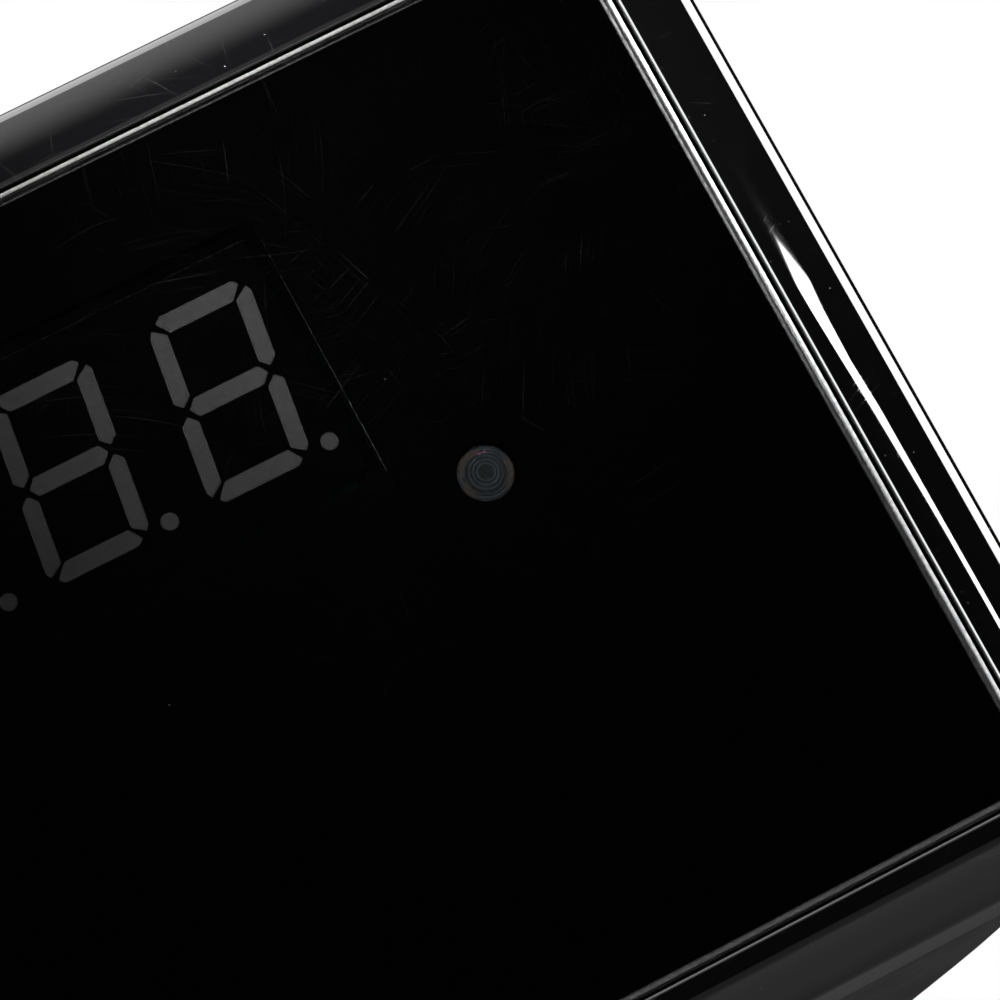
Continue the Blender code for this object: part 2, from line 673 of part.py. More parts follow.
def build_trigger():
    """The trigger: a hollowed finger plate with a stop flange, on a stem that enters its switch."""
    half_width = TRIGGER_HALF_WIDTH
    low = TRIGGER_Z - TRIGGER_HALF_HEIGHT
    high = TRIGGER_Z + TRIGGER_HALF_HEIGHT
    trigger = block(
        "trigger", (-half_width, TRIGGER_BACK_Y, low), (half_width, TRIGGER_FRONT_Y, high), GREY,
        edge=2.0 * MM,
    )
    finger_radius = (TRIGGER_HALF_HEIGHT ** 2 + TRIGGER_HOLLOW ** 2) / (2 * TRIGGER_HOLLOW)
    boolean(trigger, rod(
        "finger_hollow", (-20 * MM, TRIGGER_FRONT_Y + finger_radius - TRIGGER_HOLLOW, TRIGGER_Z), "X",
        40 * MM, finger_radius, sides=64,
    ))
    boolean(trigger, block(
        "trigger_flange", (-half_width - FLANGE, TRIGGER_BACK_Y - 0.5 * MM, low - FLANGE),
        (half_width + FLANGE, TRIGGER_BACK_Y + FLANGE, high + FLANGE),
    ), "UNION")
    boolean(trigger, block(
        "trigger_stem", (-STEM_HALF, STEM_BACK_Y, TRIGGER_Z - STEM_HALF_HEIGHT),
        (STEM_HALF, TRIGGER_BACK_Y + 4 * MM, TRIGGER_Z + STEM_HALF_HEIGHT),
    ), "UNION")
    switch = block(
        "trigger_switch", (-SWITCH_HALF_WIDTH, SWITCH_BACK_Y, TRIGGER_Z - SWITCH_HALF_HEIGHT),
        (SWITCH_HALF_WIDTH, SWITCH_FRONT_Y, TRIGGER_Z + SWITCH_HALF_HEIGHT), SATIN, edge=0.8 * MM,
    )
    boolean(switch, block(
        "switch_pocket",
        (-STEM_HALF - GAP, SWITCH_FRONT_Y - SWITCH_POCKET, TRIGGER_Z - STEM_HALF_HEIGHT - GAP),
        (STEM_HALF + GAP, SWITCH_FRONT_Y + HAIR, TRIGGER_Z + STEM_HALF_HEIGHT + GAP),
    ))


def parabola(radius):
    return radius * radius / (4 * REFLECTOR_FOCUS)


def build_lamp():
    """Reflector, flash tube and its holder, lens, retaining ring and rubber nose."""
    steps = 5
    radii = [REFLECTOR_HOLE + (REFLECTOR_RADIUS - REFLECTOR_HOLE) * i / steps for i in range(steps + 1)]
    rim = parabola(REFLECTOR_RADIUS)
    outer = [(r + 0.7 * REFLECTOR_SHEET, parabola(r) - 0.7 * REFLECTOR_SHEET) for r in reversed(radii)]
    inner = [(r, parabola(r)) for r in radii]
    turned(
        "reflector",
        [(LENS_RADIUS, rim), (LENS_RADIUS, rim - REFLECTOR_SHEET)] + outer + inner,
        (0, REFLECTOR_VERTEX_Y, HEAD_Z), "Y", CHROME, steps=28, ring=True,
    )
    turned(
        "tube_holder",
        (
            (REFLECTOR_HOLE - 1.0 * MM, HOLDER_LENGTH), (REFLECTOR_HOLE - 1.0 * MM, HOLDER_BASE),
            (HOLDER_RADIUS, HOLDER_BASE), (HOLDER_RADIUS, 0), (0, 0), (0, HOLDER_FLOOR),
            (TUBE_RADIUS + 2 * GAP, HOLDER_FLOOR), (TUBE_RADIUS + 2 * GAP, HOLDER_LENGTH),
        ),
        (0, HOLDER_Y, HEAD_Z), "Y", CERAMIC, steps=16, ring=True,
    )
    tube_y = HOLDER_Y + HOLDER_FLOOR + GAP
    end = [
        (TUBE_RADIUS * math.cos(angle), TUBE_RADIUS * math.sin(angle))
        for angle in (math.radians(30 * i) for i in range(4))
    ]
    turned(
        "flash_tube",
        [(r, TUBE_LENGTH - TUBE_RADIUS + h) for r, h in reversed(end)]
        + [(r, TUBE_RADIUS - h) for r, h in end],
        (0, tube_y, HEAD_Z), "Y", CLEAR, steps=12,
    )
    cap_y = tube_y + TUBE_LENGTH - CAP_OVERLAP
    turned(
        "tube_cap",
        (
            (0, CAP_LENGTH), (CAP_RADIUS - 1.2 * MM, CAP_LENGTH), (CAP_RADIUS, CAP_LENGTH - MM), (CAP_RADIUS, 0),
            (TUBE_RADIUS + GAP, 0), (TUBE_RADIUS + GAP, CAP_LENGTH - 2 * MM), (0, CAP_LENGTH - 2 * MM),
        ),
        (0, cap_y, HEAD_Z), "Y", STEEL, steps=12,
    )
    lens_y = REFLECTOR_VERTEX_Y + rim + GAP
    dome = [
        (LENS_RADIUS * math.sin(angle), LENS_EDGE + LENS_CROWN * math.cos(angle))
        for angle in (math.radians(22.5 * i) for i in range(5))
    ]
    turned("front_lens", dome + [(LENS_RADIUS, 0), (0, 0)], (0, lens_y, HEAD_Z), "Y", CLEAR, steps=32)
    retainer_y = lens_y + LENS_EDGE + GAP
    turned(
        "lens_retainer",
        (
            (RETAINER_RADIUS, RETAINER_LENGTH), (RETAINER_RADIUS, -RETAINER_SKIRT),
            (LENS_RADIUS + GAP, -RETAINER_SKIRT), (LENS_RADIUS + GAP, 0.0),
            (RETAINER_HOLE, 1.2 * MM), (RETAINER_HOLE, RETAINER_LENGTH),
        ),
        (0, retainer_y, HEAD_Z), "Y", ALUMINIUM, steps=32, ring=True,
    )
    length = NOSE_END_Y - NOSE_START_Y
    seat = retainer_y + RETAINER_LENGTH + GAP - NOSE_START_Y
    over_barrel = BARREL[-1][1] / 2 * MM + 3 * GAP
    over_retainer = RETAINER_RADIUS + GAP
    barrel_end = FRONT_Y - NOSE_START_Y + GAP
    turned(
        "nose_ring",
        (
            (NOSE_MOUTH, length), (NOSE_RADIUS - 3.0 * MM, length), (NOSE_RADIUS - 0.9 * MM, length - 0.9 * MM),
            (NOSE_RADIUS, length - 3.0 * MM), (NOSE_RADIUS, 4.0 * MM), (NOSE_RADIUS - 1.2 * MM, 0),
            (over_barrel, 0), (over_barrel, barrel_end), (over_retainer, barrel_end), (over_retainer, seat),
            (NOSE_HOLE, seat), (NOSE_HOLE, length - 2.0 * MM),
        ),
        (0, NOSE_START_Y, HEAD_Z), "Y", RUBBER, steps=32, ring=True,
    )


def build_electronics():
    """The main board in the barrel and the flash circuit on it."""
    block(
        "main_board", (-MAIN_BOARD_HALF, MAIN_BOARD_REAR_Y, MAIN_BOARD_Z),
        (MAIN_BOARD_HALF, MAIN_BOARD_FRONT_Y, MAIN_BOARD_Z + BOARD), GREEN, 2 * MM, along="Z", segments=2,
    )
    top = MAIN_BOARD_Z + BOARD + GAP
    block(
        "inverter_core", (-24 * MM, -6 * MM, top), (-2 * MM, 4 * MM, top + 20 * MM), FERRITE, edge=0.6 * MM
    )
    for side, y in (("rear", -15 * MM), ("front", 4.0 * MM + GAP)):
        block(
            f"inverter_winding_{side}", (-22 * MM, y, top), (-4 * MM, y + 9 * MM - GAP, top + 18 * MM),
            COPPER, 3 * MM, along="Y", segments=3,
        )
    rod("flash_capacitor", (12 * MM, -20 * MM, top + 10 * MM), "Y", 40 * MM, 9.5 * MM, SLEEVED)
    rod("trigger_coil", (-12 * MM, 36 * MM, top), "Z", 15 * MM, 6.5 * MM, SATIN, sides=20)
    for side, name, finish in ((-1, "supply_wire_black", SATIN), (1, "supply_wire_red", RED)):
        build_wire(name, side * 3 * MM, finish)


def build_wire(name, x, finish):
    """A wire from the lead socket up the grip, behind the switch, to the main board."""
    route = (
        (28.5, 12.5), (16, 13), (2, 18), (-8, 30), (-12, 46), (-13, 70), (-13, 95),
        (-12.5, 120), (-12, 138), (-12, MAIN_BOARD_Z / MM - 0.5),
    )
    distance = [0.0]
    for (y0, z0), (y1, z1) in zip(route, route[1:]):
        distance.append(distance[-1] + math.hypot(y1 - y0, z1 - z0))
    rows = [(d, y, z) for d, (y, z) in zip(distance, route)]
    path = bpy.data.curves.new(name, "CURVE")
    path.dimensions = "3D"
    path.bevel_depth = 0.9 * MM
    path.bevel_resolution = 1
    path.use_fill_caps = True
    spline = path.splines.new("POLY")
    points = smooth_rows(rows, even_positions(rows, 18))
    spline.points.add(len(points) - 1)
    for point, (_, y, z) in zip(spline.points, points):
        point.co = (x, y * MM, z * MM, 1)
    add(name, path, finish)


def build_socket():
    """The multi-pin inlet for the detachable lead, in the front of the foot."""
    turned(
        "lead_socket",
        (
            (SOCKET_BORE, SOCKET_FACE), (SOCKET_RIM - 0.8 * MM, SOCKET_FACE), (SOCKET_RIM, SOCKET_FACE - 0.8 * MM),
            (SOCKET_RIM, SOCKET_SHOULDER), (SOCKET_RADIUS, SOCKET_SHOULDER), (SOCKET_RADIUS, 0), (0, 0),
            (0, SOCKET_FLOOR), (SOCKET_BORE, SOCKET_FLOOR),
        ),
        (0, SOCKET_Y, SOCKET_Z), "Y", SATIN, steps=24, ring=True,
    )
    for pin in range(SOCKET_PINS):
        angle = math.pi / 2 + math.tau * pin / SOCKET_PINS
        rod(
            f"socket_pin_{pin + 1}",
            (PIN_CIRCLE * math.cos(angle), SOCKET_Y + SOCKET_FLOOR + GAP, SOCKET_Z + PIN_CIRCLE * math.sin(angle)),
            "Y", PIN_LENGTH, PIN_RADIUS, BRASS, sides=8,
        )


def build_grip_parts():
    """The rubber saddle round the grip and the pad under the foot."""
    reach = 40 * MM
    sleeve = block("grip_sleeve", (-reach, -reach, SLEEVE_LOW), (reach, 2 * reach, SLEEVE_HIGH), RUBBER)
    boolean(sleeve, grip_loft("sleeve_outside", -GAP - SLEEVE_THICKNESS), "INTERSECT")
    boolean(sleeve, grip_loft("sleeve_bore", -GAP))
    boolean(sleeve, block(
        "sleeve_notch", (-40 * MM, 8 * MM, SLEEVE_SHOULDER), (40 * MM, 70 * MM, SLEEVE_HIGH + 10 * MM),
        radius=6 * MM, along="X", segments=4,
    ))
    pad_x = GRIP[0][2] / 2 * MM - MM
    pad_y = GRIP[0][3] / 2 * MM - MM
    block(
        "foot_pad", (-pad_x, -pad_y, 0), (pad_x, pad_y, FOOT_Z - GAP), RUBBER, 15 * MM, along="Z", segments=6,
    )


for old in list(bpy.data.objects):
    bpy.data.objects.remove(old, do_unlink=True)

MODEL = collection("timing_light")
CUTTERS = collection("cutters")

GLOSS = material("gloss_black_plastic", (0.008, 0.008, 0.009), 0.08)
SATIN = material("satin_black_plastic", (0.02, 0.02, 0.021), 0.45)
SMOKED = material("smoked_acrylic", (0.02, 0.02, 0.022), 0.04, transmission=0.9)
FROSTED = material("frosted_grey_epoxy", (0.42, 0.42, 0.42), 0.5)
CLEAR = material("clear_glass", (0.95, 0.96, 0.97), 0.03, transmission=1.0)
RUBBER = material("black_rubber", (0.018, 0.018, 0.018), 0.75)
GREY = material("grey_plastic", (0.09, 0.09, 0.095), 0.4)
CHROME = material("vapour_coated_aluminium", (0.86, 0.87, 0.88), 0.06, 1.0)
ALUMINIUM = material("anodised_aluminium", (0.05, 0.05, 0.055), 0.3, 1.0)
STEEL = material("zinc_plated_steel", (0.55, 0.55, 0.56), 0.32, 1.0)
BRASS = material("brass_pin", (0.78, 0.6, 0.3), 0.25, 1.0)
GREEN = material("circuit_board", (0.02, 0.13, 0.05), 0.4)
COPPER = material("taped_copper_winding", (0.6, 0.42, 0.08), 0.45)
FERRITE = material("ferrite", (0.05, 0.05, 0.052), 0.6)
CERAMIC = material("white_ceramic", (0.8, 0.79, 0.76), 0.35)
SLEEVED = material("shrink_sleeve", (0.03, 0.05, 0.16), 0.35)
RED = material("red_wire", (0.5, 0.02, 0.02), 0.45)

build_window()
build_bezel()
build_mask()
build_display()
build_led()
build_housing()
build_controls()
build_trigger()
build_lamp()
build_electronics()
build_socket()
build_grip_parts()
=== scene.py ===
"""A timing light in a pale studio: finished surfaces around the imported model."""
import math

import bmesh
import bpy
import numpy as np
from mathutils import Matrix, Vector


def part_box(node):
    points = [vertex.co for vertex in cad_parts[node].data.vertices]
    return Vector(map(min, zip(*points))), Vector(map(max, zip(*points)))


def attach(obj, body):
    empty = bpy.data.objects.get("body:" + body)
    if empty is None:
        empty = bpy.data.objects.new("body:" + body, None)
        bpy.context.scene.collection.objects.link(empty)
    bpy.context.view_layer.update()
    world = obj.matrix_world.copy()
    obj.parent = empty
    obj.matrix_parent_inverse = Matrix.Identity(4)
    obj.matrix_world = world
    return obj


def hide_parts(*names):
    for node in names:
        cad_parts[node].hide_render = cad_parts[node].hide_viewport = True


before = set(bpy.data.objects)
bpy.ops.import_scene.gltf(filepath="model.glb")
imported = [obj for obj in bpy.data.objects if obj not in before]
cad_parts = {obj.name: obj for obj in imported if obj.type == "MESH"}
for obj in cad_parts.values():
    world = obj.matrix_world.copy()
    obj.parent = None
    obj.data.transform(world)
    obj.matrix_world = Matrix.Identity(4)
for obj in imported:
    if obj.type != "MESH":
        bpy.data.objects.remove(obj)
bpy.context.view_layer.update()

MM = 0.001
BODY = "body"
DIGIT_SLANT = math.radians(8.0)
DIGIT_PITCH = 12.7
DIGITS = 4
# strength of the window edge's pale haze: partly a rubbed edge, partly painted sheen of the side light
EDGE_HAZE_AND_SHEEN = 0.6
CUTOUT_MARGIN = 1.0
BUTTONS = ("button_down", "button_mode", "button_up")


def box(node):
    """A node's lowest and highest corners in millimetres, as arrays."""
    low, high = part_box(node)
    return np.array(low) / MM, np.array(high) / MM


def middle(node):
    low, high = box(node)
    return (low + high) / 2


HEAD_Z = middle("panel_window")[2]
REAR_Y = box("panel_window")[0][1]


# ---------------------------------------------------------------- materials

class Shader:
    """A node material. Each call adds one node and gives back its output."""

    def __init__(self, name):
        self.material = bpy.data.materials.new(name)
        self.material.use_nodes = True
        self.nodes = self.material.node_tree.nodes
        self.links = self.material.node_tree.links
        self.nodes.clear()
        object_place = self.add("ShaderNodeTexCoord", "Object")
        inputs = {0: object_place, "Scale": 1 / MM}
        self.place = self.add("ShaderNodeVectorMath", 0, inputs, operation="SCALE")

    def add(self, kind, out=0, inputs=None, **settings):
        node = self.nodes.new(kind)
        for name, value in settings.items():
            setattr(node, name, value)
        for key, value in (inputs or {}).items():
            if isinstance(value, bpy.types.NodeSocket):
                self.links.new(value, node.inputs[key])
            else:
                node.inputs[key].default_value = value
        return node.outputs[out]

    def math(self, operation, a, b=0.0, clamp=False):
        return self.add("ShaderNodeMath", 0, {0: a, 1: b}, operation=operation, use_clamp=clamp)

    def times(self, a, b):
        return self.math("MULTIPLY", a, b)

    def cells(self, size, angles=(0, 0, 0), place=None):
        """The place counted in cells of a size in millimetres, turned by angles."""
        inputs = {"Vector": place or self.place, "Rotation": angles, "Scale": size}
        return self.add("ShaderNodeMapping", 0, inputs, vector_type="TEXTURE")

    def noise(self, cell, detail=2.0, place=None):
        inputs = {"Vector": place or self.place, "Scale": 1 / cell, "Detail": detail}
        return self.add("ShaderNodeTexNoise", 0, inputs)

    def span(self, value, low, high, out_low=0.0, out_high=1.0, smooth=True):
        """value taken from low..high to out_low..out_high, and held there."""
        inputs = {"Value": value, 1: low, 2: high, 3: out_low, 4: out_high}
        kind = "SMOOTHSTEP" if smooth else "LINEAR"
        return self.add("ShaderNodeMapRange", 0, inputs, interpolation_type=kind, clamp=True)

    def patchy(self, cell, detail, low, high):
        """A value that drifts between low and high in soft patches."""
        return self.span(self.noise(cell, detail), 0.3, 0.7, low, high)

    def mix(self, share, a, b):
        inputs = {0: share, 6: rgba(a), 7: rgba(b)}
        return self.add("ShaderNodeMix", 2, inputs, data_type="RGBA")

    def bump(self, height, depth, normal=None):
        """Relief of depth millimetres where height goes from 0 to 1."""
        inputs = {"Height": height, "Distance": depth * MM, "Strength": 1.0}
        if normal:
            inputs["Normal"] = normal
        return self.add("ShaderNodeBump", 0, inputs)

    def scratches(self, width=0.07):
        """Fine, slightly curved hairlines in several directions, 0 to 1."""
        bend = self.add("ShaderNodeTexNoise", "Color", {"Vector": self.place, "Scale": 1 / 26, "Detail": 0.0})
        drift = self.add("ShaderNodeVectorMath", 0, {0: bend, "Scale": 14.0}, operation="SCALE")
        place = self.add("ShaderNodeVectorMath", 0, {0: self.place, 1: drift}, operation="ADD")
        total = None
        for turn, length in ((0.25, 11), (0.9, 6), (1.6, 8), (2.1, 14), (2.7, 7)):
            lines = self.noise(1.0, 0.0, self.cells((width, 1.0, length), (0, turn, 0), place))
            gaps = self.noise(7.0, 1.0, self.cells((1, 1, 1), (0, turn + 0.4, 0)))
            line = self.times(self.span(lines, 0.77, 0.85), self.span(gaps, 0.46, 0.70))
            total = line if total is None else self.math("MAXIMUM", total, line)
        return total

    def dust(self, cell=0.9, share=0.10, size=0.16):
        """Scattered specks, 0 to 1: share of the cells hold one, of up to size times the cell."""
        inputs = {"Vector": self.place, "Scale": 1 / cell, "Randomness": 1.0}
        distance = self.add("ShaderNodeTexVoronoi", "Distance", inputs)
        chance = self.add("ShaderNodeSeparateColor", 0, {"Color": distance.node.outputs["Color"]})
        kept = self.span(chance, 1 - share, 1 - share * 0.2, 0.0, size, smooth=False)
        speck = self.math("SUBTRACT", kept, distance)
        return self.span(speck, 0.0, size * 0.35)

    def edges(self, low=0.53, high=0.62):
        """1 along convex edges, broken up as handling wears them."""
        sharp = self.add("ShaderNodeNewGeometry", "Pointiness")
        return self.times(self.span(sharp, low, high), self.span(self.noise(2.2, 3), 0.35, 0.65))

    def principled(self, colour, roughness, normal=None, **rest):
        inputs = {"Base Color": rgba(colour), "Roughness": roughness}
        names = {
            "metallic": "Metallic", "ior": "IOR", "sheen": "Sheen Weight", "specular": "Specular IOR Level"
        }
        for key, value in rest.items():
            inputs[names[key]] = value
        if normal:
            inputs["Normal"] = normal
        return self.add("ShaderNodeBsdfPrincipled", 0, inputs)

    def done(self, surface):
        output = self.nodes.new("ShaderNodeOutputMaterial")
        self.links.new(surface, output.inputs["Surface"])
        return self.material


def rgba(value):
    if isinstance(value, bpy.types.NodeSocket):
        return value
    if isinstance(value, (int, float)):
        value = (value, value, value)
    return (*value, 1.0)


def scaled(colour, factor):
    return tuple(channel * factor for channel in colour)


def moulded(name, colour, roughness, grain=0.012, cell=0.32, edge_mark_share=0.10):
    """Moulded plastic: spark-eroded grain, patchy polish, dust, and paler rubbed edges."""
    s = Shader(name)
    fine = s.noise(cell, 2)
    broad = s.noise(17, 3)
    edge = s.edges()
    tone = s.mix(broad, scaled(colour, 0.82), scaled(colour, 1.2))
    tone = s.mix(s.math("MULTIPLY", edge, edge_mark_share * 4, True), tone, scaled(colour, 2.2))
    tone = s.mix(s.times(s.dust(1.4, 0.05, 0.09), 0.5), tone, (0.35, 0.34, 0.32))
    rough = s.patchy(9, 4, roughness * 0.85, roughness * 1.18)
    rough = s.math("SUBTRACT", rough, s.times(edge, edge_mark_share))
    return s.done(s.principled(tone, rough, s.bump(fine, grain)))


def gloss_black():
    """High-gloss black moulding with hairlines, dust and a slow waviness in its reflections."""
    s = Shader("gloss_black")
    lines = s.scratches()
    specks = s.math("MAXIMUM", s.dust(0.9, 0.14, 0.06), s.dust(0.33, 0.08, 0.13))
    specks = s.times(specks, s.span(s.noise(8, 2), 0.38, 0.7))
    tone = s.mix(s.times(specks, 0.6), (0.0008, 0.0008, 0.0009), (0.42, 0.42, 0.4))
    tone = s.mix(s.times(lines, 0.02), tone, (0.3, 0.3, 0.3))
    rough = s.math("ADD", s.patchy(11, 3, 0.014, 0.03), s.times(lines, 0.03))
    wave = s.bump(s.noise(9, 0.5), 0.010)
    relief = s.bump(s.times(lines, -1.0), 0.0001, wave)
    return s.done(s.principled(tone, rough, relief, ior=1.9, specular=0.9))


def smoked_acrylic():
    """Dark tinted sheet: light passes straight through, weakened; the surface is glossy and scuffed. Its
    rounded edge holds a pale haze, partly a rubbed edge and partly a painted sheen of the light from the
    side.
    """
    s = Shader("smoked_acrylic")
    lines = s.scratches(0.045)
    specks = s.times(s.dust(1.3, 0.08, 0.045), s.span(s.noise(12, 2), 0.4, 0.7))
    # painted sheen on the rounded edge, partly a rubbed haze: strong on the upright edges, weak on top and
    # bottom
    rim = s.times(window_edge_haze_and_sheen(s), s.span(s.noise(0.30, 4), 0.25, 0.75, 0.55, 1.0))
    tint = s.mix(s.noise(25, 2), 0.67, 0.70)
    clear = s.add("ShaderNodeBsdfTransparent", 0, {"Color": tint})
    wave = s.bump(s.noise(14, 1), 0.004)
    shine = s.add("ShaderNodeBsdfGlossy", 0, {"Color": rgba(1.0), "Roughness": 0.03, "Normal": wave})
    fresnel = s.add("ShaderNodeFresnel", 0, {"IOR": 1.49, "Normal": wave})
    sheet = s.add("ShaderNodeMixShader", 0, {0: fresnel, 1: clear, 2: shine})
    # pale diffuse layer for the hairlines, the dust and the edge's haze with its painted sheen
    haze = s.add("ShaderNodeBsdfDiffuse", 0, {"Color": rgba(0.75)})
    marks = s.math("MAXIMUM", s.times(lines, 0.0016), s.times(specks, 0.10))
    # adds the edge's pale haze, partly painted sheen of the side light
    marks = s.math("MAXIMUM", marks, s.times(rim, EDGE_HAZE_AND_SHEEN))
    return s.done(s.add("ShaderNodeMixShader", 0, {0: marks, 1: sheet, 2: haze}))


def window_edge_haze_and_sheen(s):
    """Partly a rubbed, hazy edge and partly a painted sheen of the side light: 1 on the window's upright
    edges, little on its top and bottom edges, where the painted sheen is kept weak, 0 on its faces.
    """
    high = box("panel_window")[1]
    place = s.add("ShaderNodeSeparateXYZ", 0, {0: s.place}).node
    across = s.math("ABSOLUTE", place.outputs["X"])
    up = s.math("ABSOLUTE", s.math("SUBTRACT", place.outputs["Z"], float(HEAD_Z)))
    sides = s.span(s.math("SUBTRACT", across, float(high[0])), -0.42, -0.18)
    # top and bottom edges kept weak: painted, as the side light falls less there
    ends = s.span(s.math("SUBTRACT", up, float(high[2] - HEAD_Z)), -0.42, -0.18, 0.0, 0.12)
    return s.math("MAXIMUM", sides, ends)


def lens_glass():
    """Clear glass or resin that lets light straight through, with a polished surface and light dust."""
    s = Shader("lens_glass")
    specks = s.times(s.dust(1.1, 0.05, 0.07), 0.4)
    tint = (0.97, 0.98, 0.98)
    colour = s.mix(s.noise(15, 2), tint, scaled(tint, 0.97))
    clear = s.add("ShaderNodeBsdfTransparent", 0, {"Color": colour})
    wave = s.bump(s.noise(8, 1), 0.002)
    shine = s.add("ShaderNodeBsdfGlossy", 0, {"Color": rgba(1.0), "Roughness": 0.02, "Normal": wave})
    fresnel = s.add("ShaderNodeFresnel", 0, {"IOR": 1.5, "Normal": wave})
    glass = s.add("ShaderNodeMixShader", 0, {0: fresnel, 1: clear, 2: shine})
    grey = s.add("ShaderNodeBsdfDiffuse", 0, {"Color": rgba(0.6)})
    return s.done(s.add("ShaderNodeMixShader", 0, {0: specks, 1: glass, 2: grey}))


def digit_epoxy():
    """Milky grey filling of the display's bars, seen through its flat top skin."""
    s = Shader("digit_epoxy")
    grain = s.span(s.noise(0.16, 4), 0.3, 0.7)
    tone = s.mix(grain, 0.020, 0.028)
    tone = s.mix(s.times(s.dust(0.9, 0.12, 0.07), 0.5), tone, 0.10)
    return s.done(s.principled(tone, 0.5, s.bump(s.noise(0.25, 2), 0.003), specular=0.2))


def mask_black():
    """Dull printed black, with pale dotted marks along the cut-out's upright edges, faint at the top and
    strong at the bottom.
    """
    s = Shader("mask_black")
    low, high = box("display_case")
    centre, half = (low + high) / 2, (high - low) / 2 + CUTOUT_MARGIN
    place = s.add("ShaderNodeSeparateXYZ", 0, {0: s.place}).node
    side = s.math("ABSOLUTE", s.math("SUBTRACT", place.outputs["X"], float(centre[0])))
    rise = s.math("SUBTRACT", place.outputs["Z"], float(centre[2]))
    near = s.span(s.math("ABSOLUTE", s.math("SUBTRACT", side, float(half[0]))), 0.05, 0.015)
    near = s.times(near, s.span(s.math("ABSOLUTE", rise), float(half[2]), float(half[2]) - 0.3))
    dots = s.span(s.noise(0.09, 1), 0.54, 0.64)
    # the dotted marks go from faint at the top to strong at the bottom
    edge_mark_share = s.span(rise, float(half[2]), float(-half[2]), 0.05, 0.8)
    pale_edge_marks = s.times(s.times(near, dots), edge_mark_share)
    tone = s.mix(pale_edge_marks, s.mix(s.noise(5, 3), 0.0002, 0.0004), (0.30, 0.29, 0.28))
    rough = s.patchy(7, 3, 0.5, 0.62)
    return s.done(s.principled(tone, rough, s.bump(s.noise(0.2, 2), 0.003), specular=0.01))


def case_black():
    """The display's box: black plastic with a flat, slightly scuffed face and a faint pale line along its top
    edge.
    """
    s = Shader("case_black")
    tone = s.mix(s.times(s.scratches(), 0.006), s.mix(s.noise(6, 3), 0.0002, 0.0004), 0.3)
    tone = s.mix(s.times(s.dust(1.0, 0.05, 0.06), 0.06), tone, 0.4)
    height = s.add("ShaderNodeSeparateXYZ", 2, {0: s.place})
    top = s.math("ABSOLUTE", s.math("SUBTRACT", height, float(box("display_case")[1][2]) - 0.1))
    # a faint pale line only along the top edge of the case
    pale_edge_marks = s.times(s.span(top, 0.06, 0.02), s.span(s.noise(0.3, 2), 0.45, 0.65))
    tone = s.mix(s.times(pale_edge_marks, 0.009), tone, 0.6)
    return s.done(s.principled(tone, s.patchy(4, 3, 0.42, 0.55), specular=0.01))


def led_resin():
    """The indicator's smoked resin: moulded rings, a polished skin and faint coloured glints."""
    s = Shader("led_resin")
    centre = middle("status_led")
    place = s.add("ShaderNodeVectorMath", 0, {0: s.place, 1: tuple(map(float, centre))}, operation="SUBTRACT")
    flat = s.add("ShaderNodeVectorMath", 0, {0: place, 1: (1.0, 0.0, 1.0)}, operation="MULTIPLY")
    radius = s.add("ShaderNodeVectorMath", "Value", {0: flat}, operation="LENGTH")
    rings = s.span(s.math("SINE", s.times(radius, 22.0)), -1.0, 1.0)
    tone = s.mix(rings, (0.010, 0.012, 0.014), (0.019, 0.023, 0.027))
    tone = s.mix(s.span(radius, 0.75, 0.35), tone, (0.008, 0.010, 0.010))
    warm = s.times(s.span(radius, 1.40, 1.5), s.span(s.noise(1.6, 1), 0.42, 0.6))
    tone = s.mix(s.times(warm, 0.6), tone, (0.030, 0.021, 0.015))
    tone = s.mix(s.span(s.noise(0.35, 3), 0.45, 0.75, 0.0, 0.5), tone, (0.005, 0.007, 0.008))
    glint = s.times(s.dust(0.45, 0.35, 0.40), s.span(radius, 1.7, 1.5))
    hue = s.add("ShaderNodeTexVoronoi", "Color", {"Vector": s.place, "Scale": 1 / 0.45})
    tone = s.mix(s.times(glint, 0.25), tone, s.mix(0.25, hue, (0.0, 0.30, 0.12)))
    return s.done(s.principled(tone, s.patchy(0.8, 3, 0.12, 0.28), s.bump(rings, 0.006)))


def rubber():
    """Moulded black rubber: matt, softly mottled, with chalky wear on raised edges."""
    s = Shader("black_rubber")
    colour = 0.017
    edge = s.edges(0.52, 0.60)
    tone = s.mix(s.noise(12, 4), colour * 0.8, colour * 1.35)
    tone = s.mix(s.times(edge, 0.30), tone, (0.10, 0.10, 0.098))
    tone = s.mix(s.times(s.dust(1.2, 0.10, 0.10), 0.35), tone, (0.3, 0.29, 0.27))
    rough = s.patchy(6, 4, 0.62, 0.82)
    pores = s.math("ADD", s.noise(0.30, 3), s.times(s.noise(1.6, 2), 0.6))
    return s.done(s.principled(tone, rough, s.bump(pores, 0.02), specular=0.35, sheen=0.08))


def metal(name, colour, roughness, turning=None, tarnish=0.25):
    """Bare or plated metal with fine tool marks, turned round Y or even, and dull patches."""
    s = Shader(name)
    marks = s.noise(1.0, 3, s.cells((1.0, 0.07, 1.0) if turning == "Y" else (0.2, 0.2, 0.2)))
    patches = s.span(s.noise(3.5, 4), 0.35, 0.7)
    tone = s.mix(s.times(patches, tarnish), colour, scaled(colour, 0.55))
    rough = s.math("ADD", s.span(marks, 0.3, 0.7, roughness * 0.7, roughness * 1.3),
                   s.times(patches, tarnish * 0.25))
    return s.done(s.principled(tone, rough, s.bump(marks, 0.003), metallic=1.0))


def chrome():
    """Vapour-coated reflector: near-mirror, with faint orange peel and patchy haze."""
    s = Shader("reflector")
    tone = s.mix(s.noise(18, 3), (0.88, 0.89, 0.9), (0.78, 0.79, 0.81))
    rough = s.span(s.noise(6, 4), 0.3, 0.75, 0.035, 0.10)
    return s.done(s.principled(tone, rough, s.bump(s.noise(1.8, 2), 0.006), metallic=1.0))


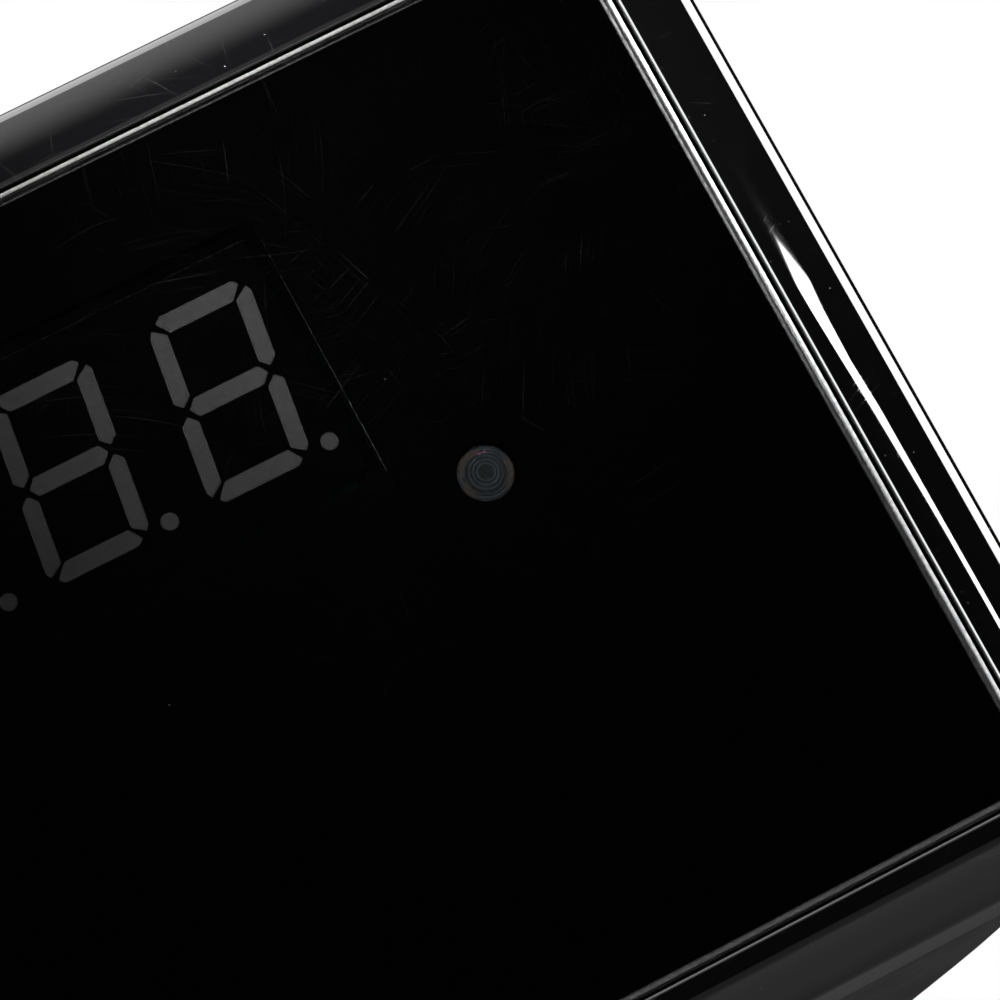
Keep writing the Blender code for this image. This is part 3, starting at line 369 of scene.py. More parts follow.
def circuit_board():
    """Green solder mask over copper tracks, with bare pads."""
    s = Shader("circuit_board")
    tracks = s.add("ShaderNodeTexBrick", "Color", {
        "Vector": s.cells((1, 1, 1), (math.pi / 2, 0, 0)), "Color1": rgba(0.0), "Color2": rgba(0.0),
        "Mortar": rgba(1.0), "Scale": 1.0, "Mortar Size": 0.12, "Brick Width": 5.2, "Row Height": 1.9})
    copper = s.mix(tracks, (0.012, 0.085, 0.03), (0.03, 0.20, 0.07))
    pads = s.dust(3.1, 0.5, 0.16)
    tone = s.mix(pads, copper, (0.72, 0.70, 0.62))
    tone = s.mix(s.times(s.noise(9, 3), 0.3), tone, (0.01, 0.05, 0.02))
    height = s.math("MAXIMUM", s.add("ShaderNodeRGBToBW", 0, {0: tracks}), pads)
    return s.done(s.principled(tone, s.patchy(4, 3, 0.22, 0.38), s.bump(height, 0.035),
                               metallic=s.times(pads, 0.9)))


def ceramic():
    s = Shader("ceramic")
    tone = s.mix(s.noise(7, 4), (0.80, 0.78, 0.73), (0.66, 0.64, 0.60))
    tone = s.mix(s.times(s.dust(1.0, 0.15, 0.12), 0.6), tone, (0.35, 0.32, 0.28))
    rough = s.patchy(3, 3, 0.35, 0.55)
    return s.done(s.principled(tone, rough, s.bump(s.noise(0.4, 3), 0.01)))


def winding():
    """Yellow tape wound round copper, with the tape's overlapping edges."""
    s = Shader("winding")
    inputs = {"Vector": s.place, "Scale": 0.55, "Distortion": 0.6, "Detail": 2.0}
    wave = s.add("ShaderNodeTexWave", "Fac", inputs, bands_direction="Y")
    tone = s.mix(s.span(wave, 0.1, 0.9), (0.62, 0.42, 0.06), (0.80, 0.60, 0.13))
    tone = s.mix(s.times(s.noise(5, 3), 0.4), tone, (0.45, 0.28, 0.05))
    return s.done(s.principled(tone, s.patchy(3, 3, 0.3, 0.45), s.bump(wave, 0.06)))


FINISHES = {
    "gloss_black": gloss_black(),
    "smoked_acrylic": smoked_acrylic(),
    "satin_black": moulded("satin_black", (0.016, 0.016, 0.017), 0.44, grain=0.014),
    "grey_plastic": moulded("grey_plastic", (0.055, 0.056, 0.059), 0.48),
    "digit_epoxy": digit_epoxy(),
    "display_mask": mask_black(),
    "display_case": case_black(),
    "led_resin": led_resin(),
    "lens_glass": lens_glass(),
    "reflector": chrome(),
    "black_aluminium": metal("black_aluminium", (0.045, 0.045, 0.05), 0.34, "Y", 0.2),
    "black_rubber": rubber(),
    "steel": metal("steel", (0.60, 0.60, 0.61), 0.28),
    "brass": metal("brass", (0.80, 0.60, 0.28), 0.24, "Y"),
    "circuit_board": circuit_board(),
    "ceramic": ceramic(),
    "ferrite": moulded("ferrite", (0.045, 0.045, 0.048), 0.6, grain=0.03, cell=0.5),
    "winding": winding(),
    "capacitor": moulded("capacitor", (0.025, 0.045, 0.15), 0.3, grain=0.004, cell=0.8),
    "red_wire": moulded("red_wire", (0.42, 0.018, 0.016), 0.4, grain=0.006),
}


# ---------------------------------------------------------------- mesh helpers

def placed(name, data):
    """A new object in the scene."""
    made = bpy.data.objects.new(name, data)
    bpy.context.scene.collection.objects.link(made)
    return made


def piece(name, mesh, finish, body=BODY, replaces=(), angle=35.0):
    """A new object that rides on a body and stands for CAD nodes."""
    made = placed(name, mesh)
    mesh.materials.clear()
    mesh.materials.append(FINISHES[finish])
    mesh.shade_smooth()
    mesh.set_sharp_from_angle(angle=math.radians(angle))
    if body:
        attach(made, body)
    if replaces:
        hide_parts(*replaces)
    return made


def mesh_from(name, built):
    """The finished mesh of a bmesh."""
    mesh = bpy.data.meshes.new(name)
    built.to_mesh(mesh)
    built.free()
    return mesh


def mesh_of(name, points, faces):
    """A mesh from points in millimetres, with its faces turned outwards."""
    built = bmesh.new()
    corners = [built.verts.new(Vector(point) * MM) for point in points]
    for face in faces:
        built.faces.new([corners[i] for i in face])
    bmesh.ops.recalc_face_normals(built, faces=built.faces)
    return mesh_from(name, built)


def loft(name, rings, closed=False):
    """A solid through rings of equal length, capped at both ends or closed on itself."""
    rings = [np.asarray(ring, float) for ring in rings]
    count = len(rings[0])
    faces = []
    last = len(rings) if closed else len(rings) - 1
    for level in range(last):
        here = level * count
        there = (level + 1) % len(rings) * count
        for i in range(count):
            k = (i + 1) % count
            faces.append((here + i, here + k, there + k, there + i))
    if not closed:
        faces.append(tuple(range(count))[::-1])
        faces.append(tuple(range((len(rings) - 1) * count, len(rings) * count)))
    return mesh_of(name, np.concatenate(rings), faces)


def rounded_rectangle(width, height, radius, corner=12, side=1):
    """Points round a rounded rectangle, anticlockwise, with side steps along each straight."""
    points = []
    for turn, (across, up) in enumerate(((1, 1), (-1, 1), (-1, -1), (1, -1))):
        centre = np.array((across * (width / 2 - radius), up * (height / 2 - radius)))
        angles = math.pi / 2 * (turn + np.linspace(0, 1, corner))
        points.extend(centre + radius * np.stack((np.cos(angles), np.sin(angles)), 1))
        after = ((-1, 1), (-1, -1), (1, -1), (1, 1))[turn]
        nearest = np.array((after[0] * (width / 2 - radius), after[1] * (height / 2 - radius)))
        start = points[-1]
        end = nearest + radius * np.array((math.cos(angles[-1]), math.sin(angles[-1])))
        points.extend(start + (end - start) * step / side for step in range(1, side))
    return np.array(points)


def ring_at(outline, axis, level):
    """A flat outline set in space, level millimetres along an axis (0 is X, 1 is Y, 2 is Z)."""
    return np.insert(outline, axis, level, axis=1)


def panel_ring(width, height, radius, y, **steps):
    """A rounded rectangle that faces the user, at one depth."""
    return ring_at(rounded_rectangle(width, height, radius, **steps) + (0, HEAD_Z), 1, y)


def turned(name, profile, origin, axis, steps=96, closed=False):
    """A turned solid from (radius, distance) points. Radius 0 ends make it solid on its axis."""
    origin = np.array(origin, float)
    along, side, up = {
        "X": ((1, 0, 0), (0, 1, 0), (0, 0, 1)), "Y": ((0, 1, 0), (1, 0, 0), (0, 0, 1)),
        "Z": ((0, 0, 1), (1, 0, 0), (0, 1, 0)), "-Y": ((0, -1, 0), (1, 0, 0), (0, 0, 1)),
    }[axis]
    along, side, up = (np.array(v, float) for v in (along, side, up))
    angles = np.linspace(0, math.tau, steps, endpoint=False)
    wheel = np.outer(np.cos(angles), side) + np.outer(np.sin(angles), up)
    points, rings, faces = [], [], []
    for radius, distance in profile:
        centre = origin + along * distance
        if radius < 1e-6:
            rings.append([len(points)] * steps)
            points.append(centre)
        else:
            rings.append(list(range(len(points), len(points) + steps)))
            points.extend(centre + radius * wheel)
    pairs = list(zip(rings, rings[1:]))
    if closed:
        pairs.append((rings[-1], rings[0]))
    for here, there in pairs:
        for i in range(steps):
            k = (i + 1) % steps
            corners = []
            for index in (here[i], here[k], there[k], there[i]):
                if index not in corners:
                    corners.append(index)
            if len(corners) > 2:
                faces.append(tuple(corners))
    return mesh_of(name, points, faces)


def arc(centre, radius, start, end, steps=8):
    """Profile points along an arc, in degrees."""
    angles = np.radians(np.linspace(start, end, steps + 1))
    return [(centre[0] + radius * math.cos(a), centre[1] + radius * math.sin(a)) for a in angles]


def joined(name, meshes):
    """One mesh that holds several separate closed bodies."""
    built = bmesh.new()
    for mesh in meshes:
        built.from_mesh(mesh)
        bpy.data.meshes.remove(mesh)
    return mesh_from(name, built)


def carved(mesh, tool, operation="DIFFERENCE", solver="EXACT"):
    """mesh after a boolean with tool; both were whole meshes in the same place."""
    base, other = placed("base", mesh), placed("tool", tool)
    step = base.modifiers.new("cut", "BOOLEAN")
    step.operation = operation
    step.solver = solver
    step.object = other
    result = evaluated(base)
    for made in (base, other):
        old = made.data
        bpy.data.objects.remove(made)
        bpy.data.meshes.remove(old)
    return result


def evaluated(made):
    """The object's mesh with its modifiers applied."""
    bpy.context.view_layer.update()
    graph = bpy.context.evaluated_depsgraph_get()
    return bpy.data.meshes.new_from_object(made.evaluated_get(graph))


def modified(mesh, *steps):
    """mesh after modifiers, each a (kind, settings) pair."""
    made = placed("modified", mesh)
    for number, (kind, settings) in enumerate(steps):
        step = made.modifiers.new(str(number), kind)
        for key, value in settings.items():
            setattr(step, key, value)
    result = evaluated(made)
    bpy.data.objects.remove(made)
    bpy.data.meshes.remove(mesh)
    return result


def bevelled_box(name, low, high, edge, segments=3):
    """A box between two corners in millimetres with rounded edges."""
    built = bmesh.new()
    bmesh.ops.create_cube(built, size=1.0)
    low, high = Vector(low), Vector(high)
    bmesh.ops.scale(built, vec=(high - low) * MM, verts=built.verts)
    bmesh.ops.translate(built, vec=(high + low) / 2 * MM, verts=built.verts)
    bmesh.ops.bevel(built, geom=built.edges[:], offset=edge * MM, segments=segments, profile=0.5,
                    affect="EDGES")
    return mesh_from(name, built)


# ---------------------------------------------------------------- the display panel

def build_window():
    """The tinted sheet, with its rubbed edge rounded over."""
    low, high = box("panel_window")
    width, height = (high - low)[[0, 2]]
    front, back = low[1], high[1]
    radius = 4.0
    rounding, rounding_depth = 0.45, 0.30

    def ring(inset, y):
        return panel_ring(width - 2 * inset, height - 2 * inset, radius - inset, y, side=12)

    rings = [ring(rounding + 0.1, front)]
    for angle in np.radians(np.linspace(0, 90, 9)):
        inset = rounding * (1 - math.sin(angle))
        depth = rounding_depth * (1 - math.cos(angle))
        rings.append(ring(inset, front + depth))
    rings += [ring(0, back - 0.15), ring(0.15, back), ring(0.2, back)]
    piece("window", loft("window", rings), "smoked_acrylic", replaces=["panel_window"], angle=60)


RING_DEPTH = 10.0
MOUTH_CORNER, OUTER_CORNER = 4.3, 10.0
SPIGOT_WIDTH, SPIGOT_WALL = 98.4, 2.0
LEDGE_REACH, LEDGE_FRONT, LEDGE_BACK = 3.8, 4.1, 6.6


def build_bezel():
    """The gloss frame: flat lip, crowned and rounded outer edge, ledge and spigot."""
    low, high = box("panel_bezel")
    width, height = (high - low)[[0, 2]]
    front, spigot_back = low[1], high[1]
    ring_back = front + RING_DEPTH
    mouth_w, mouth_h = box("panel_window")[1][[0, 2]] - box("panel_window")[0][[0, 2]] + 0.6
    reach = (width - mouth_w) / 2
    arris = 0.42
    crown, crown_turn, rounding = 8.9, 23.0, 1.68
    sine, cosine = math.sin(math.radians(crown_turn)), math.cos(math.radians(crown_turn))
    round_out = reach - rounding
    round_back = front + crown * (1 - cosine) + rounding * cosine
    crown_out = round_out + rounding * sine - crown * sine
    profile = [(0.0, front + LEDGE_FRONT), (0.0, front + arris + 0.1)]
    profile += arc((arris, front + arris), arris, 180, 270, 10)
    profile += [(arris + 0.05, front), (crown_out - 0.05, front)]
    profile += arc((crown_out, front + crown), crown, -90, crown_turn - 90, 20)
    profile += arc((round_out, round_back), rounding, crown_turn - 90, 0, 18)[1:]
    profile += [(reach, ring_back - 0.35), (reach - 0.35, ring_back)]
    outside = reach - (width - SPIGOT_WIDTH) / 2
    inside = outside - SPIGOT_WALL
    profile += [(outside, ring_back), (outside, spigot_back - 0.4), (outside - 0.4, spigot_back)]
    profile += [(inside + 0.4, spigot_back), (inside, spigot_back - 0.4), (inside, front + LEDGE_BACK)]
    profile += [(-LEDGE_REACH, front + LEDGE_BACK), (-LEDGE_REACH, front + LEDGE_FRONT)]
    rings = []
    for offset, y in profile:
        share = min(max(offset / reach, 0), 1)
        radius = max(MOUTH_CORNER + share * (OUTER_CORNER - MOUTH_CORNER) + min(offset, 0), 1.0)
        rings.append(panel_ring(mouth_w + 2 * offset, mouth_h + 2 * offset, radius, y, corner=16, side=24))
    piece("bezel", loft("bezel", rings, closed=True), "gloss_black", replaces=["panel_bezel"], angle=40)


BARS = (
    ((-2.55, 0.7), (2.55, 0.7), (3.1, 0.0), (2.55, -0.7), (-2.55, -0.7), (-3.1, 0.0)),
    ((-2.9, 7.1), (2.9, 7.1), (3.3, 6.7), (2.5, 5.7), (-2.5, 5.7), (-3.3, 6.7)),
    ((3.75, 6.35), (4.05, 5.9), (4.05, 0.9), (3.45, 0.35), (2.75, 1.0), (2.75, 5.65)),
)
POINT = (4.6, -6.5)
POINT_RADIUS = 0.65


def digit_shapes():
    """Outlines of the seven slanted bars and the point of one digit, about its middle."""
    middle_bar, top_bar, side_bar = BARS
    bars = [middle_bar, top_bar, [(x, -z) for x, z in top_bar]]
    bars += [[(side * x, up * z) for x, z in side_bar] for side in (-1, 1) for up in (-1, 1)]
    shapes = [[(x + z * math.tan(DIGIT_SLANT), z) for x, z in bar] for bar in bars]
    angles = np.linspace(0, math.tau, 32, endpoint=False)
    shapes.append([
        (POINT[0] + POINT_RADIUS * math.cos(a), POINT[1] + POINT_RADIUS * math.sin(a)) for a in angles
    ])
    return shapes


def prism(name, outline, y_front, y_back, grow=0.0, soften=0.0):
    """An outline pulled along Y, grown by an offset, with its corners softened."""
    outline = np.array(outline, float)
    area = np.sum(outline[:, 0] * np.roll(outline[:, 1], -1) - outline[:, 1] * np.roll(outline[:, 0], -1))
    if area < 0:
        outline = outline[::-1]
    if soften:
        outline = softened(outline, soften)
    if grow:
        edge = np.roll(outline, -1, 0) - outline
        edge /= np.linalg.norm(edge, axis=1)[:, None]
        out = np.stack((edge[:, 1], -edge[:, 0]), 1)
        before = np.roll(out, 1, 0)
        bisector = (out + before) / (1 + np.sum(out * before, 1))[:, None]
        outline = outline + grow * bisector
    return loft(name, [ring_at(outline, 1, y) for y in (y_front, y_back)])


def softened(outline, reach, steps=4):
    """The outline with every corner replaced by a small curve."""
    points = []
    for before, here, after in zip(np.roll(outline, 1, 0), outline, np.roll(outline, -1, 0)):
        start = here + (before - here) / np.linalg.norm(before - here) * reach
        end = here + (after - here) / np.linalg.norm(after - here) * reach
        for t in np.linspace(0, 1, steps + 1):
            points.append((1 - t) ** 2 * start + 2 * t * (1 - t) * here + t * t * end)
    return np.array(points)


def build_display():
    """The four-digit module: a box with a window for each bar, and the bars' milky filling."""
    low, high = box("display_case")
    front = low[1]
    centre = (low + high) / 2
    case = bevelled_box("case", low, high, 0.15, 2)
    pocket = bevelled_box("pocket", low + (1.2, 1.0, 1.2), high + (-1.2, 2.0, -1.2), 0.1, 1)
    case = carved(case, pocket)
    openings, bars = [], []
    for digit in range(DIGITS):
        x = centre[0] + (digit - (DIGITS - 1) / 2) * DIGIT_PITCH
        for shape in digit_shapes():
            placed = [(x + a, centre[2] + b) for a, b in shape]
            corner = 0.10 if len(shape) < 8 else 0.0
            openings.append(prism("opening", placed, front - 1, front + 2, 0.02, corner))
            bars.append(prism("bar", placed, front + 0.03, front + 0.8, 0.0, corner))
    case = carved(case, joined("openings", openings))
    piece("display_module", case, "display_case", replaces=["display_case"], angle=30)
    piece("display_bars", joined("bars", bars), "digit_epoxy", replaces=["display_casting"], angle=30)


def build_led():
    """The indicator: a wide flange and a low dome."""
    low, high = box("status_led")
    x, z = (low[0] + high[0]) / 2, (low[2] + high[2]) / 2
    back, front = high[1], low[1]
    edge, flange = back - front, (high[0] - low[0]) / 2
    dome, crown = 1.42, 0.30
    sphere = (dome ** 2 + crown ** 2) / (2 * crown)
    profile = [(0.0, 0.0), (1.5, 0.0), (1.5, 1.0), (flange, 1.2), (flange, edge - 0.62)]
    profile += arc((flange - 0.14, edge - 0.62), 0.14, 20, 90, 4)
    profile += [(dome + 0.10, edge - 0.48), (dome + 0.02, edge - crown - 0.04)]
    profile += [(r, edge - sphere + math.sqrt(sphere ** 2 - r * r)) for r in np.linspace(dome, 0, 16)]
    piece("led_lens", turned("led_lens", profile, (x, back, z), "-Y", 96), "led_resin",
          replaces=["status_led"], angle=40)


def build_mask():
    """The black sheet behind the window, cut out round the display and bored for the indicator."""
    low, high = box("display_mask")
    outline = panel_ring(high[0] - low[0], high[2] - low[2], 3.7, low[1], side=4)
    rings = [outline, outline + (0, high[1] - low[1], 0)]
    display_low, display_high = box("display_case")
    reach = np.array((CUTOUT_MARGIN, 0, CUTOUT_MARGIN))
    low_corner, high_corner = display_low - reach, display_high + reach
    low_corner[1], high_corner[1] = low[1] - 1, high[1] + 1
    cutout = bevelled_box("cutout", low_corner, high_corner, 0.4, 4)
    led = middle("status_led")
    bore = turned("bore", [(0, 0), (2.25, 0), (2.25, 4), (0, 4)], (led[0], low[1] - 1, led[2]), "Y", 64)
    sheet = carved(carved(loft("mask", rings), cutout), bore)
    piece("mask_sheet", sheet, "display_mask", replaces=["display_mask"], angle=30)


def build_panel():
    build_window()
    build_bezel()
    build_mask()
    build_display()
    build_led()


# ---------------------------------------------------------------- the body's form

BARREL = (
    (-49.7, 104, 82, 10), (-42, 104, 82, 10), (-16, 100, 82, 14), (12, 88, 76, 22), (42, 74, 69, 28),
    (70, 66, 65, 31), (92, 63, 63, 31), (117.7, 62, 62, 30.5),
)
GRIP = (
    (2.5, 0, 64, 90, 16), (22, 0, 63, 89, 16), (32, -0.5, 50, 70, 16), (46, 0, 39, 55, 16.5),
    (70, 3, 37, 51, 17), (100, 8, 38, 54, 17.5), (124, 12, 42, 64, 18), (140, 14, 47, 74, 20),
)
FILLET = 8.0
FOOT_Z = GRIP[0][0]
BARREL_START, BARREL_END = BARREL[0][0], BARREL[-1][0]
WALL = 2.5
GRIP_TOP = 150.0


def sections(stations, where):
    """Each column of the stations, read along a curve that never overshoots."""
    stations = np.array(stations, float)
    knots = stations[:, 0]
    spans = np.diff(knots)
    i = np.clip(np.searchsorted(knots, where) - 1, 0, len(spans) - 1)
    t = np.clip((where - knots[i]) / spans[i], 0, 1)
    found = []
    for column in stations[:, 1:].T:
        rise = np.diff(column) / spans
        before, after = rise[:-1], rise[1:]
        agree = before * after > 0
        inner = np.where(agree, 2 * before * after / np.where(agree, before + after, 1), 0)
        slope = np.concatenate((rise[:1], inner, rise[-1:]))
        found.append(
            column[i] * (1 + 2 * t) * (1 - t) ** 2 + column[i + 1] * t * t * (3 - 2 * t)
            + slope[i] * spans[i] * t * (1 - t) ** 2 - slope[i + 1] * spans[i] * t * t * (1 - t)
        )
    return found


def rounded_distance(across, up, width, height, radius):
    """Signed distance in a plane from a rounded rectangle about zero."""
    a = np.abs(across) - (width / 2 - radius)
    b = np.abs(up) - (height / 2 - radius)
    outside = np.hypot(np.maximum(a, 0), np.maximum(b, 0))
    return outside + np.minimum(np.maximum(a, b), 0) - radius


def soft_least(a, b, reach):
    """The lesser of two distances, with the corner between them filled."""
    near = np.maximum(reach - np.abs(a - b), 0) / reach
    return np.minimum(a, b) - near * near * reach / 4


def body_distance(points):
    """How far each point is outside the barrel and grip, joined by a fillet."""
    x, y, z = points.T
    width, height, radius = sections(BARREL, y)
    barrel = rounded_distance(x, z - HEAD_Z, width, height, radius)
    centre, width, depth, radius = sections(GRIP, z)
    grip = rounded_distance(x, y - centre, width, depth, radius)
    grip = -soft_least(-grip, z - FOOT_Z, 2.4)
    grip = np.maximum(grip, z - GRIP_TOP)
    return soft_least(barrel, grip, FILLET)


def settled(points, level=0.0, steps=6, level_rows=False):
    """Points moved onto the surface that lies level outside the body, or level with Z kept."""
    points = np.array(points, float)
    hair = 0.05
    for _ in range(steps):
        value = body_distance(points) - level
        slope = np.stack([
            (body_distance(points + hair * axis) - body_distance(points - hair * axis)) / (2 * hair)
            for axis in np.eye(3)
        ], 1)
        if level_rows:
            slope[:, 2] = 0
        size = np.maximum(np.sum(slope * slope, 1), 0.2)
        points -= np.clip(value / size, -3, 3)[:, None] * slope
    return points


def rough_body():
    """Overlapping barrel and grip, a little longer than the real ones at the barrel's ends."""
    rings = []
    for y in (BARREL_START - 5, *np.linspace(BARREL_START, BARREL_END, 24), BARREL_END + 5):
        width, height, radius = (float(v[0]) for v in sections(BARREL, np.array([y])))
        rings.append(panel_ring(width, height, radius, y))
    barrel = loft("barrel", rings)
    rings = []
    for z in np.linspace(FOOT_Z, GRIP_TOP - 5, 24):
        centre, width, depth, radius = (float(v[0]) for v in sections(GRIP, np.array([z])))
        rings.append(ring_at(rounded_rectangle(width, depth, radius) + (0, centre), 2, z))
    return joined("rough_body", [barrel, loft("grip", rings)])


def body_skin():
    """The whole outer surface as even small faces that lie on the smooth form."""
    voxel = 1.5 * MM
    mesh = modified(rough_body(), ("REMESH", {"mode": "VOXEL", "voxel_size": voxel, "adaptivity": 0.0}))
    settle(mesh, 0.0)
    return mesh


def settle(mesh, level):
    """The mesh's corners moved to where the surface lies level outside the body."""
    points = np.empty(len(mesh.vertices) * 3, np.float32)
    mesh.vertices.foreach_get("co", points)
    points = settled(points.reshape(-1, 3) / MM, level)
    mesh.vertices.foreach_set("co", (points * MM).astype(np.float32).ravel())
    mesh.update()


def half_skin(skin, side):
    """The skin on one side of the parting plane, cut off square at the barrel's two ends."""
    built = bmesh.new()
    built.from_mesh(skin)
    seam = SEAM * side
    for place, outward in (
        ((0, BARREL_START, 0), (0, -1, 0)), ((0, BARREL_END, 0), (0, 1, 0)), ((seam, 0, 0), (-side, 0, 0)),
    ):
        geometry = built.verts[:] + built.edges[:] + built.faces[:]
        bmesh.ops.bisect_plane(built, geom=geometry, dist=1e-6, plane_co=Vector(place) * MM, plane_no=outward,
                               clear_outer=True)
    bmesh.ops.dissolve_degenerate(built, dist=1e-6, edges=built.edges[:])
    return mesh_from("half", built)


def cylinder(name, origin, axis, length, radius, steps=64):
    return turned(name, [(0, 0), (radius, 0), (radius, length), (0, length)], origin, axis, steps)


def screw_places():
    return [middle(f"housing_screw_{number}")[1:] for number in range(1, 7)]


SEAM = 0.15  # half the gap between the shells
BOSS_SINK = 0.8  # how far under the skin the screw bosses end
BOSS_LENGTH, BOSS_RADIUS = 60, 5.2
SCREW_HOLE_RADIUS, COUNTERBORE_RADIUS = 1.8, 3.4
BUTTON_HOLE_RADIUS, SOCKET_HOLE_RADIUS = 6.8, 7.3


def build_housing():
    """Two thin shells with screw bosses, counterbores and openings for the moving parts."""
    skin = body_skin()
    core = skin.copy()
    settle(core, -BOSS_SINK)
    button_y = middle("button_mode")[1]
    head_top = box("housing_left")[1][2]
    trigger_low, trigger_high = box("trigger")
    trigger_z = (trigger_low[2] + trigger_high[2]) / 2
    socket = middle("lead_socket")
    for name, side in (("housing_left", -1), ("housing_right", 1)):
        shell = modified(half_skin(skin, side), ("SOLIDIFY", {
            "thickness": WALL * MM, "offset": -1.0, "use_even_offset": True, "use_rim": True}))
        bosses, cuts = [], []
        for y, z in screw_places():
            start = SEAM if side > 0 else -SEAM - BOSS_LENGTH
            bosses.append(cylinder("boss", (start, y, z), "X", BOSS_LENGTH, BOSS_RADIUS, 40))
            start = -1.0 if side > 0 else -9.0
            cuts.append(cylinder("screw_hole", (start, y, z), "X", 9.4, SCREW_HOLE_RADIUS, 32))
            if side > 0:
                cuts.append(cylinder("counterbore", (8.0, y, z), "X", BOSS_LENGTH, COUNTERBORE_RADIUS, 48))
        for x in (-20.0, 0.0, 20.0):
            if x * side >= 0:
                place = (x, button_y, head_top - 8)
                cuts.append(cylinder("button_hole", place, "Z", 20, BUTTON_HOLE_RADIUS, 96))
        cuts.append(bevelled_box("slot", (-8.1, 26.5, trigger_z - 14.6), (8.1, 60, trigger_z + 14.6), 1.6, 4))
        cuts.append(cylinder("socket_hole", (0, 36, socket[2]), "Y", 20, SOCKET_HOLE_RADIUS, 64))
        bosses = carved(joined("bosses", bosses), core.copy(), "INTERSECT", "MANIFOLD")
        shell = carved(shell, bosses, "UNION", "MANIFOLD")
        shell = carved(shell, joined("cuts", cuts), "DIFFERENCE", "MANIFOLD")
        piece(name.replace("housing", "shell"), shell, "satin_black", replaces=[name], angle=32)
    bpy.data.meshes.remove(skin)
    bpy.data.meshes.remove(core)


# ---------------------------------------------------------------- grip, controls and foot

NOTCH_CENTRE = (39, 120)


def build_sleeve():
    """The moulded rubber sleeve, with grip ridges, a rolled hem and a notch for the trigger finger."""
    low, high = box("grip_sleeve")
    bottom, top = low[2], high[2]
    outer, inner, roll = 1.9, 0.3, 1.0
    rows = [(bottom + 0.1, inner)]
    rows += arc((bottom + roll, outer - roll), roll, 180, 90, 4)
    for z in np.arange(bottom + roll + 0.5, top - roll - 0.4, 0.7):
        ridge = 0.5 - 0.5 * math.cos(math.tau * (z - bottom - 8) / 5.2)
        inside = min(max((z - bottom - 6) / 3, 0), 1) * min(max((top - 24 - z) / 3, 0), 1)
        rows.append((z, outer - 0.75 * inside * ridge ** 3))
    rows += arc((top - roll, outer - roll), roll, 90, 0, 4)
    rows += [(top - 0.1, inner)]
    rows += [(z, inner) for z in np.linspace(top - 4, bottom + 4, 14)]
    rings = []
    for z, out in rows:
        centre, width, depth, radius = (float(v[0]) for v in sections(GRIP, np.array([z])))
        outline = rounded_rectangle(width + 2 * out, depth + 2 * out, radius + out, corner=20, side=8)
        rings.append(settled(ring_at(outline + (0, centre), 2, z), out, 3, True))
    sleeve = loft("sleeve", rings, closed=True)
    outline = rounded_rectangle(62, 60, 7) + NOTCH_CENTRE
    notch = loft("notch", [ring_at(outline, 0, x) for x in (-40, 40)])
    piece("grip_sleeve_moulded", carved(sleeve, notch), "black_rubber", replaces=["grip_sleeve"], angle=40)


def build_trigger():
    """The finger plate with a ribbed hollow, its stop flange and its stem."""
    low, high = box("trigger")
    half_width, centre_z = 7.5, (low[2] + high[2]) / 2
    half_height, front, back = 14.0, high[1], 26.5
    corner, hollow = 2.6, 3.5
    outline = [(back, centre_z - half_height)]
    outline += [(y, centre_z - half_height + corner + z) for y, z in
                arc((front - corner, 0.0), corner, -90, 0, 8)]
    reach = half_height - corner
    for t in np.linspace(-1, 1, 81)[1:-1]:
        ripple = 0.16 * math.cos(math.tau * t * 3.5) * max(0.0, 1 - (t / 0.75) ** 2)
        outline.append((front - hollow * (1 - t * t) ** 1.2 + ripple, centre_z + t * reach))
    outline += [(y, centre_z + half_height - corner + z) for y, z in
                arc((front - corner, 0.0), corner, 0, 90, 8)]
    outline.append((back, centre_z + half_height))
    outline = np.array(outline)
    edge = np.roll(outline, -1, 0) - outline
    edge /= np.linalg.norm(edge, axis=1)[:, None]
    out = np.stack((edge[:, 1], -edge[:, 0]), 1)
    bisector = out + np.roll(out, 1, 0)
    bisector /= np.linalg.norm(bisector, axis=1)[:, None]
    rings = []
    rounding = 2.0
    angles = np.radians(np.linspace(0, 90, 7))
    steps = [(-half_width + rounding * (1 - math.sin(a)), rounding * (1 - math.cos(a))) for a in angles[::-1]]
    steps += [(-x, inset) for x, inset in steps[::-1]]
    for x, inset in steps:
        rings.append(ring_at(outline - inset * bisector, 0, x))
    plate = loft("plate", rings)
    flange = bevelled_box("flange", (low[0], 26.0, low[2]), (high[0], 28.0, high[2]), 0.3)
    stem = bevelled_box("stem", (-5, low[1], centre_z - 7), (5, 31, centre_z + 7), 0.4)
    plate = carved(carved(plate, flange, "UNION"), stem, "UNION")
    piece("trigger_moulded", plate, "grey_plastic", "trigger", ["trigger"], 40)


def button_symbol(name, x, y, low, high):
    """A raised sign: a triangle that points down or up, or a ring."""
    if name == "button_mode":
        ring = [(1.5, low - high), (2.3, low - high), (2.3, -0.1), (2.2, 0), (1.6, 0), (1.5, -0.1)]
        return turned("ring", ring, (x, y, high), "Z", 48, closed=True)
    point = 1 if name == "button_up" else -1
    corners = np.array([(0, 2.4 * point), (-2.2, -1.4 * point), (2.2, -1.4 * point)])
    if point < 0:
        corners = corners[::-1]
    outline = softened(corners, 0.5)
    return loft("triangle", [
        ring_at(outline * size + (x, y), 2, z)
        for z, size in ((low, 1.0), (high - 0.1, 1.0), (high, 0.95))
    ])


